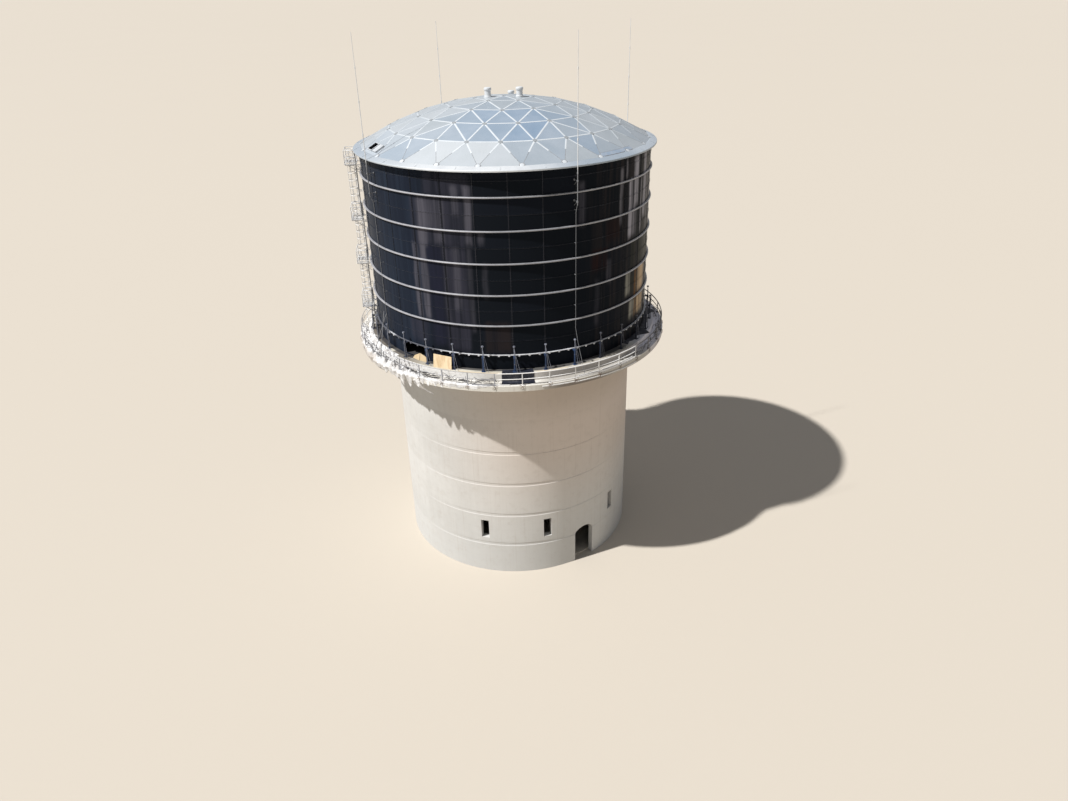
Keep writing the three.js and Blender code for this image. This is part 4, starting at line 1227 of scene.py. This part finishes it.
panels = []
for ring in range(1, dome_rings):
    for wedge in range(6):
        for step in range(ring):
            outer, inner = wedge * ring + step, wedge * (ring - 1) + step
            after, above = node_number(ring, outer + 1), node_number(ring - 1, inner)
            panels.append((node_number(ring, outer), after, above))
            if step < ring - 1:
                panels.append((after, node_number(ring - 1, inner + 1), above))
for step in range(eave_nodes):
    here, above = node_number(5, step), node_number(4, step + 1)
    panels += [(here, above, node_number(4, step)), (here, node_number(5, step + 1), above)]
middles = [(lattice[a] + lattice[b] + lattice[c]) / 3 for a, b, c in panels]

mill_finish = Finish("mill_aluminium_sheet", light=(0.35, 0.385, 0.41))
# The tint field paints a blue reflection of the sky, and the sheen field a white painted sheen.
tint, painted_sheen = (
    mill_finish.node("ShaderNodeAttribute", {"attribute_name": field}).other("Fac")
    for field in ("tint", "painted_sheen")
)
mill_cloud = mill_finish.grain(0.7, 6.0, 0.6)
mill_lines = mill_finish.vector(mill_finish.x * 14.0, mill_finish.y * 3.0, mill_finish.height * 3.0)
mill_aluminium = mill_finish.layered(
    (tint, (0.197, 0.277, 0.377)),
    (painted_sheen, (0.49, 0.515, 0.53)),
    (mill_cloud.rise(0.35, 0.7) * 0.2, (0.52, 0.55, 0.60)),
    (mill_finish.cloud(mill_lines, 1.0, 5.0, 0.6).rise(0.55, 0.75) * 0.12, (0.30, 0.32, 0.34)),
).surface((0.30, 0.18, mill_cloud), (0.012, 0.5, mill_cloud), metallic=0.12)

bowed = random.Random(5)
drop = Vector((0.0, 0.0, -sheet_drop))
under = Vector((0.0, 0.0, -sheet_drop - sheet_thickness))
sheets = Shape()
sheets.corners = [node + drop for node in lattice] + [node + under for node in lattice]
below = len(lattice)
for (a, b, c), middle in zip(panels, middles):
    bow = len(sheets.corners)
    sheets.corners.append(middle + drop + Vector((0.0, 0.0, bowed.uniform(-0.008, 0.006))))
    sheets.faces += [(a, b, bow), (b, c, bow), (c, a, bow), (below + a, below + c, below + b)]
for step in range(eave_nodes):
    here, there = node_number(5, step), node_number(5, step + 1)
    sheets.faces.append((here, below + here, below + there, there))

hatch_turn = -62.2
hatch_along, hatch_up, hatch_size = -0.22, 0.32, 0.35
ring_four = eave_radius * 0.8
eave_chord = eave_radius * math.cos(math.pi / eave_nodes)
panel_slope = math.atan2(dome_height(ring_four) - eave_height, eave_chord - ring_four)


def on_panel(along, up, lift):
    """A place on the hatch's eave panel, by its distance along the eave and up the slope."""
    reach = lift * math.sin(panel_slope) - up * math.cos(panel_slope)
    rise = up * math.sin(panel_slope) + lift * math.cos(panel_slope)
    return at(hatch_turn, eave_chord + reach, eave_height + rise, along)


def panel_box(shape, along, up, low, high, width, length):
    """Adds a block that lies square on the hatch's eave panel."""
    sides = [(x * width / 2, y * length / 2) for x, y in ((-1, -1), (1, -1), (1, 1), (-1, 1))]
    return shape.loft([[on_panel(along + x, up + y, lift) for x, y in sides] for lift in (low, high)])


dome_sheets = sheets.piece("dome_sheets", mill_aluminium, 0.5)
carve(dome_sheets, [panel_box(Shape(), hatch_along, hatch_up, -0.75, 0.75, hatch_size, hatch_size)], 0.5)
toned = random.Random(3)
lowest_row = 4.6
tints, painted_sheens = [], []
# Painted reflection and sheen: the front rows get the most blue, and the lowest row in front and the flanks a
# painted sheen.
for middle in middles:
    azimuth = bearing(middle)
    radius = math.hypot(middle.x, middle.y)
    bright = radius > lowest_row and -38.0 < azimuth < 2.0
    front = max(0.0, 1.0 - ((azimuth - 2.0) / 46.0) ** 2)
    front *= 1.0 - 0.55 * max(0.0, 1.0 - abs(azimuth - 1.0) / 9.0)
    ringwise = max(0.0, 1.0 - ((radius - 3.3) / 1.9) ** 2)
    deep = 0.25 * toned.random() + front * ringwise * toned.uniform(0.35, 1.15)
    if radius > lowest_row and -78.0 < azimuth < 70.0:
        deep += toned.uniform(0.0, 0.45) * (0.2 if bright or azimuth > 44.0 else 1.0)
    tints.append(min(1.0, deep))
    flank = (0.4 if azimuth < 0.0 else 0.15) * between(abs(azimuth), 44.0, 56.0)
    painted_sheens.append(toned.uniform(0.55, 0.95) if bright else flank)
for label, values in (("tint", tints), ("painted_sheen", painted_sheens)):
    field = dome_sheets.data.attributes.new(label, "FLOAT", "FACE")
    for face in dome_sheets.data.polygons:
        nearest = min(range(len(panels)), key=lambda panel: (middles[panel] - face.center).length_squared)
        field.data[face.index].value = values[nearest]
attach(dome_sheets, "root")
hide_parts("dome_panels")


# Battens: bright flat covers screwed over each joint of the sheets. In the row at the eave they stop short
# and the joint goes on as a thin fold, painted dark as the shadow line in the joint.
def lattice_pattern(name, on_edges):
    """A tree that lays a piece along each edge of a lattice, or on each of its corners."""
    pattern = Pattern(name, {"Trim": "Float", "Centre Height": "Float"})

    def apart(first, second):
        return pattern.node("ShaderNodeVectorMath", {"operation": "SUBTRACT"}, {0: first, 1: second})

    mesh = pattern.given("Geometry")
    if on_edges:
        ends = pattern.node("GeometryNodeInputMeshEdgeVertices").other("Position 1")
        mesh = pattern.node(
            "GeometryNodeStoreNamedAttribute",
            {"data_type": "FLOAT_VECTOR", "domain": "EDGE"},
            {"Geometry": mesh, "Name": "run", "Value": apart(ends.other("Position 2"), ends)},
        )
    mode = "EDGES" if on_edges else "VERTICES"
    points = pattern.node("GeometryNodeMeshToPoints", {"mode": mode}, {"Mesh": mesh})
    centre = pattern.vector(0.0, 0.0, pattern.given("Centre Height"))
    up = apart(pattern.node("GeometryNodeInputPosition"), centre)
    if not on_edges:
        facing = pattern.node("FunctionNodeAlignRotationToVector", {"axis": "Z"}, {"Vector": up})
        return pattern.finished(points, {"Rotation": facing})
    way = pattern.node("GeometryNodeInputNamedAttribute", {"data_type": "FLOAT_VECTOR"}, {"Name": "run"})
    length = pattern.node("ShaderNodeVectorMath", {"operation": "LENGTH"}, {0: way}, out="Value")
    along = pattern.node("FunctionNodeAlignRotationToVector", {"axis": "X"}, {"Vector": way})
    upright = {"axis": "Z", "pivot_axis": "X"}
    facing = pattern.node("FunctionNodeAlignRotationToVector", upright, {"Rotation": along, "Vector": up})
    scale = pattern.vector(length - 2.0 * pattern.given("Trim"), 1.0, 1.0)
    return pattern.finished(points, {"Rotation": facing, "Scale": scale})


along_edges = lattice_pattern("along_lattice_edges", True)
on_corners = lattice_pattern("on_lattice_corners", False)


def dressed(name, pattern, model, finish, corners, edges, trim=0.0):
    """A lattice of corners and edges, dressed with copies of one shape."""
    mesh = bpy.data.meshes.new(name)
    mesh.from_pydata(corners, edges, [])
    return pattern.applied(name, mesh, model, finish, trim=trim, centre_height=sphere_centre)


def extrusion(outline):
    """A bar one metre long on X, with this (across, height) outline."""
    return Shape().loft([[(x, across, height) for across, height in outline] for x in (-0.5, 0.5)])


inner_count = ring_start[dome_rings]
edge_set = sorted({tuple(sorted(pair)) for a, b, c in panels for pair in ((a, b), (b, c), (c, a))})
inner_edges = [edge for edge in edge_set if max(edge) < inner_count]
fold_edges = [edge for edge in edge_set if min(edge) < inner_count <= max(edge)]
stub_share = 0.47
stub_corners, stub_edges = [], []
for upper, lower in fold_edges:
    stub_edges.append((len(stub_corners), len(stub_corners) + 1))
    stub_corners += [lattice[upper], lattice[upper].lerp(lattice[lower], stub_share)]

batten_finish = Finish(
    "bright_extrusion", (2.5, 5.0, 0.6), (0.4, 0.7), (0.55, 0.58, 0.605), (0.49, 0.52, 0.545)
)
batten_far = (1.0 - batten_finish.azimuth.rise(-70.0, -36.0)) + batten_finish.azimuth.rise(30.0, 60.0)
bright_extrusion = batten_finish.layered(
    (batten_far * 0.6, (0.38, 0.415, 0.445)),
).surface((0.5, 0.2), (0.003, 0.4), metallic=0.05)
dark_gasket = Finish(
    "dark_gasket", (9.0, 4.0), (0.3, 0.7), (0.17, 0.175, 0.185), (0.28, 0.285, 0.295)
).surface((0.6, 0.2))
cap = (
    (-0.031, -0.0195), (0.031, -0.0195), (0.031, -0.0150),
    (0.022, -0.0122), (-0.022, -0.0122), (-0.031, -0.0150),
)
fold = ((-0.009, -0.026), (0.009, -0.026), (0.008, -0.0135), (-0.008, -0.0135))
inner_nodes = lattice[:inner_count]
battens = merged(
    "dome_battens",
    dressed("inner_battens", along_edges, extrusion(cap), bright_extrusion, inner_nodes, inner_edges),
    dressed("eave_battens", along_edges, extrusion(cap), bright_extrusion, stub_corners, stub_edges),
)
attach(battens, "root")
# Painted shade: the folds are dark as the shadow line along each eave joint.
eave_folds = dressed("eave_folds", along_edges, extrusion(fold), dark_gasket, lattice, fold_edges, 0.03)
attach(eave_folds, "root")


# Node covers: a pressed aluminium disc bolted over each crossing of the lattice. Those at the
# eave are smaller, white and set in a ring of dark sealant.
def disc_of(profile, sides=16):
    """A turned disc standing on the origin."""
    return Shape().lathe([(0.0, profile[0][1]), *profile, (0.0, profile[-1][1])], sides)


cover = disc_of(((0.080, -0.0195), (0.084, -0.0125), (0.076, -0.0100), (0.04, -0.0085)))
for turn in range(0, 360, 60):
    cover.pipe([at(turn, 0.06, -0.012), at(turn, 0.06, -0.005)], 0.008, 6)
pressed_aluminium = Finish(
    "pressed_aluminium", (6.0, 4.0), (0.35, 0.65), (0.375, 0.40, 0.415), (0.31, 0.33, 0.345)
).surface((0.35, 0.2), metallic=0.3)
node_covers = dressed("node_covers", on_corners, cover, pressed_aluminium, inner_nodes, [])
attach(node_covers, "root")

spot_radius = eave_radius - 0.02
spot_turns = [dome_turn + 37.5 + 360.0 * step / eave_nodes for step in range(eave_nodes)]
eave_spots = [at(turn, spot_radius, dome_height(spot_radius)) for turn in spot_turns]
eave_cover = disc_of(((0.074, -0.03), (0.080, -0.008), (0.068, -0.003), (0.03, -0.001)))
eave_covers = dressed("eave_covers", on_corners, eave_cover, bright_extrusion, eave_spots, [])
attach(eave_covers, "root")
sealant_ring = disc_of(((0.108, -0.035), (0.108, -0.0145), (0.09, -0.0125)), 20)
eave_seals = dressed("eave_cover_seals", on_corners, sealant_ring, dark_gasket, eave_spots, [])
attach(eave_seals, "root")


# Eave strip: a long flat cover over two spare fixings on the right of the eave, its edge run
# round with dark sealant.
def eave_plate(grow, thickness):
    """A plate on the eave that is larger by grow on each side."""
    inner, outer = eave_radius - 0.19 - grow, eave_radius - 0.045 + grow
    outline = [(radius, dome_height(radius) - 0.065) for radius in (inner, outer)]
    outline += [(radius, height + thickness) for radius, height in reversed(outline)]
    return Shape().lathe(outline, 8, 36.5 - grow * 10, 17.5 + grow * 20)


strip_seal = eave_plate(0.02, 0.034).piece("eave_strip_seal", dark_gasket)
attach(strip_seal, "root")
strip_sheet = Finish(
    "blue_strip_sheet", (5.0, 5.0), (0.35, 0.65), (0.27, 0.34, 0.43), (0.33, 0.38, 0.45)
).surface((0.35, 0.2), metallic=0.1)
strip_cover = eave_plate(0.0, 0.04).piece("eave_strip_cover", strip_sheet)
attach(strip_cover, "root")

# Roof hatch: a square aluminium curb round the hatchway, lined black inside and down the hatchway as painted
# shade. Its lid, a shallow pan on two hinges, lies thrown back beside it.
hatch_aluminium = Finish(
    "hatch_aluminium", (4.0, 5.0), (0.35, 0.7), (0.52, 0.54, 0.56), (0.42, 0.44, 0.46)
).surface((0.45, 0.25), (0.003, 0.5), metallic=0.1)
lid_along = 0.235
hatch = panel_box(Shape(), lid_along, hatch_up, -0.02, 0.024, 0.40, 0.40)
# Painted shade: a black lining down the inside of the curb and the hatchway.
lining = Shape()
for side in (-1, 1):
    for shape, middle, off, low, high, thickness, length, end_length in (
        (hatch, hatch_along, 0.19, -0.03, 0.035, 0.03, 0.41, 0.35),
        (hatch, lid_along, 0.193, 0.02, 0.042, 0.014, 0.40, 0.372),
        (lining, hatch_along, 0.171, -0.3, 0.036, 0.008, 0.35, 0.334),
    ):
        panel_box(shape, middle + side * off, hatch_up, low, high, thickness, length)
        panel_box(shape, middle, hatch_up + side * off, low, high, end_length, thickness)
    panel_box(hatch, 0.011, hatch_up + side * 0.12, -0.02, 0.03, 0.06, 0.04)
hatch_frame = hatch.piece("hatch_curb_and_lid", hatch_aluminium)
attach(hatch_frame, "root")
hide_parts("roof_hatch")
hatch_lining = lining.piece("hatch_lining", black_membrane)
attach(hatch_lining, "root")

# Roof vents: three spun mushroom vents near the crown, each a stub pipe in a flashing collar
# under a broad, nearly flat cap.
vent_height = 0.33
vent_profile = (
    (0.0, -0.06), (0.15, -0.06), (0.145, 0.008), (0.126, 0.02), (0.121, 0.05),
    (0.121, vent_height - 0.115), (0.139, vent_height - 0.11), (0.143, vent_height - 0.10),
    (0.143, vent_height - 0.035), (0.136, vent_height - 0.022), (0.105, vent_height - 0.009),
    (0.055, vent_height - 0.002), (0.0, vent_height),
)
for number, (azimuth, radius) in enumerate(((-84.0, 0.62), (76.0, 0.625), (174.7, 3.35)), 1):
    vent = Shape().lathe(vent_profile, 40)
    vent.corners = [corner + at(azimuth, radius, dome_height(radius)) for corner in vent.corners]
    roof_vent = vent.piece(f"mushroom_vent_{number}", white_flashing)
    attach(roof_vent, "root")
    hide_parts(f"roof_vent_{number}")

# Ladder: galvanised flights up the left side, each in a cage of hoops and straps, changing
# sides at four grated rest platforms that are bracketed from the shell.
ladder_turn = -84.1
ladder_levels = (shell_base, 11.15, 13.025, 14.8, 16.95)
ladder_off = 0.165
ladder_side = 0.225
wall_reach = 0.002 - ladder_off
stile_side = 0.115
rung_step = 0.15
hoop_step = 0.29
cage_outline = (
    (0.0, -0.115), (0.06, -0.165), (0.14, -0.185), (0.23, -0.165), (0.30, -0.1), (0.33, 0.0),
    (0.30, 0.1), (0.23, 0.165), (0.14, 0.185), (0.06, 0.165), (0.0, 0.115),
)
platform_inner = 0.13 - ladder_off
platform_outer = platform_inner + 0.45
platform_half = 0.47
hole_half = 0.18
rail_out = platform_outer - 0.02
ladder_zinc = Finish(
    "bright_ladder_zinc", (3.0, 5.0), (0.4, 0.7), (0.74, 0.74, 0.74), (0.56, 0.56, 0.56)
).surface((0.45, 0.2), (0.003, 0.5), metallic=0.25)


class Flight(Shape):
    """A stage of the ladder, in places of (reach from the stiles, height, side)."""

    def bar(self, size, sides, *path):
        stiles = shell_radius + ladder_off
        path = [at(ladder_turn, stiles + reach, height, side) for reach, height, side in path]
        self.pipe(path, size, sides)

    def stiles_and_rungs(self, low, high, centre):
        for side in (centre - stile_side, centre + stile_side):
            self.bar(0.017, 8, (0, low, side), (0, high + 0.5, side))
            for height in (low + 0.35, (low + high) / 2, high - 0.25):
                self.bar(0.013, 6, (wall_reach, height, side), (0, height, side))
        for rung in range(1, int((high - low) / rung_step) + 2):
            height = low + rung_step * rung
            if height < high + 0.3:
                self.bar(0.0095, 6, (0, height, centre - stile_side), (0, height, centre + stile_side))

    def cage(self, low, high, centre):
        hoops = []
        while high > low:
            hoops.append(high)
            high -= hoop_step
        for height in hoops:
            self.bar(0.0125, 6, *[(reach, height, centre + along) for reach, along in cage_outline])
        ends = (hoops[-1] - 0.01, hoops[0] + 0.01) if hoops else ()
        for reach, along in cage_outline[1:-1:2] + (cage_outline[5],) if hoops else ():
            self.bar(0.010, 6, *[(reach, height, centre + along) for height in ends])

    def platform(self, high, centre):
        """A grating with a hole for the ladder, in a frame on brackets, with a handrail."""
        inner, outer = platform_inner, platform_outer
        for step in range(-11, 12):
            side = step * 0.0425
            through = abs(side - centre) < hole_half
            for near, far in ((inner, inner + 0.06), (outer - 0.03, outer)) if through else ((inner, outer),):
                self.bar(0.0085, 4, (near, high - 0.012, side), (far, high - 0.012, side))
        for reach in (inner, inner + 0.06, outer - 0.03, outer):
            self.bar(0.0135, 6, (reach, high - 0.015, -platform_half), (reach, high - 0.015, platform_half))
        for reach in (inner + 0.15, inner + 0.24, inner + 0.33):
            for begin, stop in ((-platform_half, centre - hole_half), (centre + hole_half, platform_half)):
                if stop - begin > 0.05:
                    self.bar(0.0085, 4, (reach, high - 0.014, begin), (reach, high - 0.014, stop))
        for side in (-platform_half, platform_half):
            self.bar(0.0135, 6, (inner, high - 0.015, side), (outer, high - 0.015, side))
            self.bar(0.012, 6, (inner, high + 0.06, side), (outer, high + 0.06, side))
            for reach in (inner + 0.03, rail_out):
                self.bar(0.0145, 8, (reach, high - 0.03, side), (reach, high + 0.5, side))
            for height in (high + 0.25, high + 0.49):
                self.bar(0.0125, 6, (inner + 0.03, height, side), (rail_out, height, side))
            arm = side * 0.87
            self.bar(0.02, 4, (wall_reach, high - 0.06, arm), (rail_out, high - 0.05, arm))
            self.bar(0.014, 6, (wall_reach, high - 0.36, arm), (outer - 0.12, high - 0.06, arm))
        for height in (high + 0.06, high + 0.25, high + 0.49):
            self.bar(0.0125, 6, (rail_out, height, -platform_half), (rail_out, height, platform_half))


for stage in range(4):
    low, high = ladder_levels[stage] + (0.001 if stage else 0.0), ladder_levels[stage + 1]
    centre = ladder_side if stage % 2 else -ladder_side
    flight = Flight()
    flight.stiles_and_rungs(low, high, centre)
    flight.cage(low + 0.4, high + 0.5, centre)
    flight.platform(high, centre)
    ladder = flight.piece(f"caged_ladder_{stage + 1}", ladder_zinc, 40.0)
    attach(ladder, "root")
    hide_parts(f"ladder_stage_{stage + 1}")

# Lightning masts: four stepped poles on brackets above the eave, each with an earth conductor
# clipped down the shell. The second one's goes on over the walkway.
mast_azimuths = (-57.0, 23.5, 118.5, -152.0)
mast_radius = 5.98
mast_base, mast_top = 16.175, 21.625
mast_parts = 5
conductor = shell_radius + 0.1405
mast_finish = Finish("dull_mast_zinc", (3.0, 5.0), (0.4, 0.7), (0.68, 0.69, 0.70), (0.56, 0.57, 0.58))
mast_zinc = mast_finish.layered(
    ((1.0 - mast_finish.height.rise(17.2, 17.5)) * 0.85, (0.115, 0.12, 0.135)),
).surface((0.45, 0.2), (0.002, 0.5), metallic=0.15)
for number, azimuth in enumerate(mast_azimuths, 1):
    bars = []
    part = (mast_top - mast_base) / mast_parts
    for step in range(mast_parts):
        size = 0.0175 - 0.0022 * step
        low = mast_base + step * part
        bars.append((size, 10, (mast_radius, low - (0.03 if step else 0.0)), (mast_radius, low + part)))
        if step:
            bars.append((size + 0.011, 10, (mast_radius, low - 0.05), (mast_radius, low + 0.03)))
    for height in (mast_base + 0.125, mast_base + 0.825):
        bars += [
            (0.013, 8, (shell_radius + 0.002, height), (mast_radius + 0.02, height)),
            (0.032, 10, (mast_radius, height - 0.03), (mast_radius, height + 0.03)),
            (0.034, 8, (shell_radius + 0.001, height), (shell_radius + 0.012, height)),
            (0.008, 6, (shell_radius + 0.002, height - 0.17), (mast_radius - 0.03, height - 0.01)),
        ]
    for girder in girder_heights[:4]:
        bars.append((0.01, 6, (shell_radius, girder + 0.58), (conductor + 0.012, girder + 0.58)))
    poles = Shape()
    for size, sides, *ends in bars:
        poles.pipe([at(azimuth, radius, height) for radius, height in ends], size, sides)
    path = [at(azimuth, mast_radius, mast_base + 0.05), at(azimuth, conductor, mast_base - 0.25)]
    path += [at(azimuth, conductor + 0.004, height) for height in (15.3, 14.4, 13.1, 12.0)]
    if number == 2:
        path += [at(azimuth, conductor, 11.62), at(azimuth + 0.25, 6.0, 11.1)]
        path.append(at(azimuth + 1.2, 6.37, deck_top + 0.002))
    else:
        path += [at(azimuth, conductor, 11.0), at(azimuth, conductor, plinth_top + 0.0008)]
    mast = poles.pipe(path, 0.008).piece(f"stepped_mast_{number}", mast_zinc, 40.0)
    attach(mast, "root")
    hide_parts(f"lightning_mast_{number}")

# Outrigger: two loose poles that cross at the foot of the left mast, lashed there for the
# hoist.
stays = Shape()
stays.pipe([at(-61.0, 6.42, deck_top + 0.002), at(-57.6, 5.86, 11.55)], 0.014)
stays.pipe([at(-55.4, 6.42, deck_top + 0.002), at(-59.3, 5.87, 11.62)], 0.014)
outrigger = stays.piece("outrigger_poles", mast_zinc)
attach(outrigger, "root")

# Studio: a plain pale floor far beyond the tower, a soft sun from the upper left and an even
# pale sky.
studio_paint = Finish(
    "studio_floor", (0.02, 2.0), (0.2, 0.8), (0.50, 0.45, 0.38), (0.497, 0.447, 0.3775)
).surface((0.85, 0.05))
floor_edge = ((2500.0, -0.002), (4500.0, 160.0))
floor_shape = Shape().add(
    [at(7.5 * step, radius, height) for radius, height in floor_edge for step in range(48)],
    [range(48), *[(step, (step + 1) % 48, 48 + (step + 1) % 48, 48 + step) for step in range(48)]],
)
studio_floor = floor_shape.piece("studio_floor", studio_paint)

scene = bpy.context.scene
world = bpy.data.worlds.new("pale_sky")
world.use_nodes = True
sky = world.node_tree.nodes["Background"].inputs
sky["Color"].default_value = (0.86, 0.88, 0.93, 1.0)
sky["Strength"].default_value = 0.34
scene.world = world

sun = bpy.data.lights.new("studio_sun", "SUN")
sun.energy = 5.3
sun.angle = math.radians(1.2)
sun.color = (1.0, 0.993, 0.985)
sun_lamp = bpy.data.objects.new("studio_sun", sun)
sun_height = math.radians(53.6)
sun_from = Vector((-0.927 * math.cos(sun_height), -0.375 * math.cos(sun_height), math.sin(sun_height)))
sun_lamp.rotation_euler = sun_from.to_track_quat("Z", "Y").to_euler()
scene.collection.objects.link(sun_lamp)

camera = bpy.data.cameras.new("view")
camera.lens = 26.42
camera.sensor_width = 36.0
camera.clip_end = 10000.0
viewer = bpy.data.objects.new("view", camera)
viewer.matrix_world = Matrix((
    (0.999021, 0.037125, -0.024077, 0.0),
    (-0.038614, 0.465718, -0.884090, -32.262),
    (-0.021608, 0.884154, 0.466695, 22.824),
    (0.0, 0.0, 0.0, 1.0),
))
scene.collection.objects.link(viewer)
scene.camera = viewer
scene.view_settings.view_transform = "Standard"
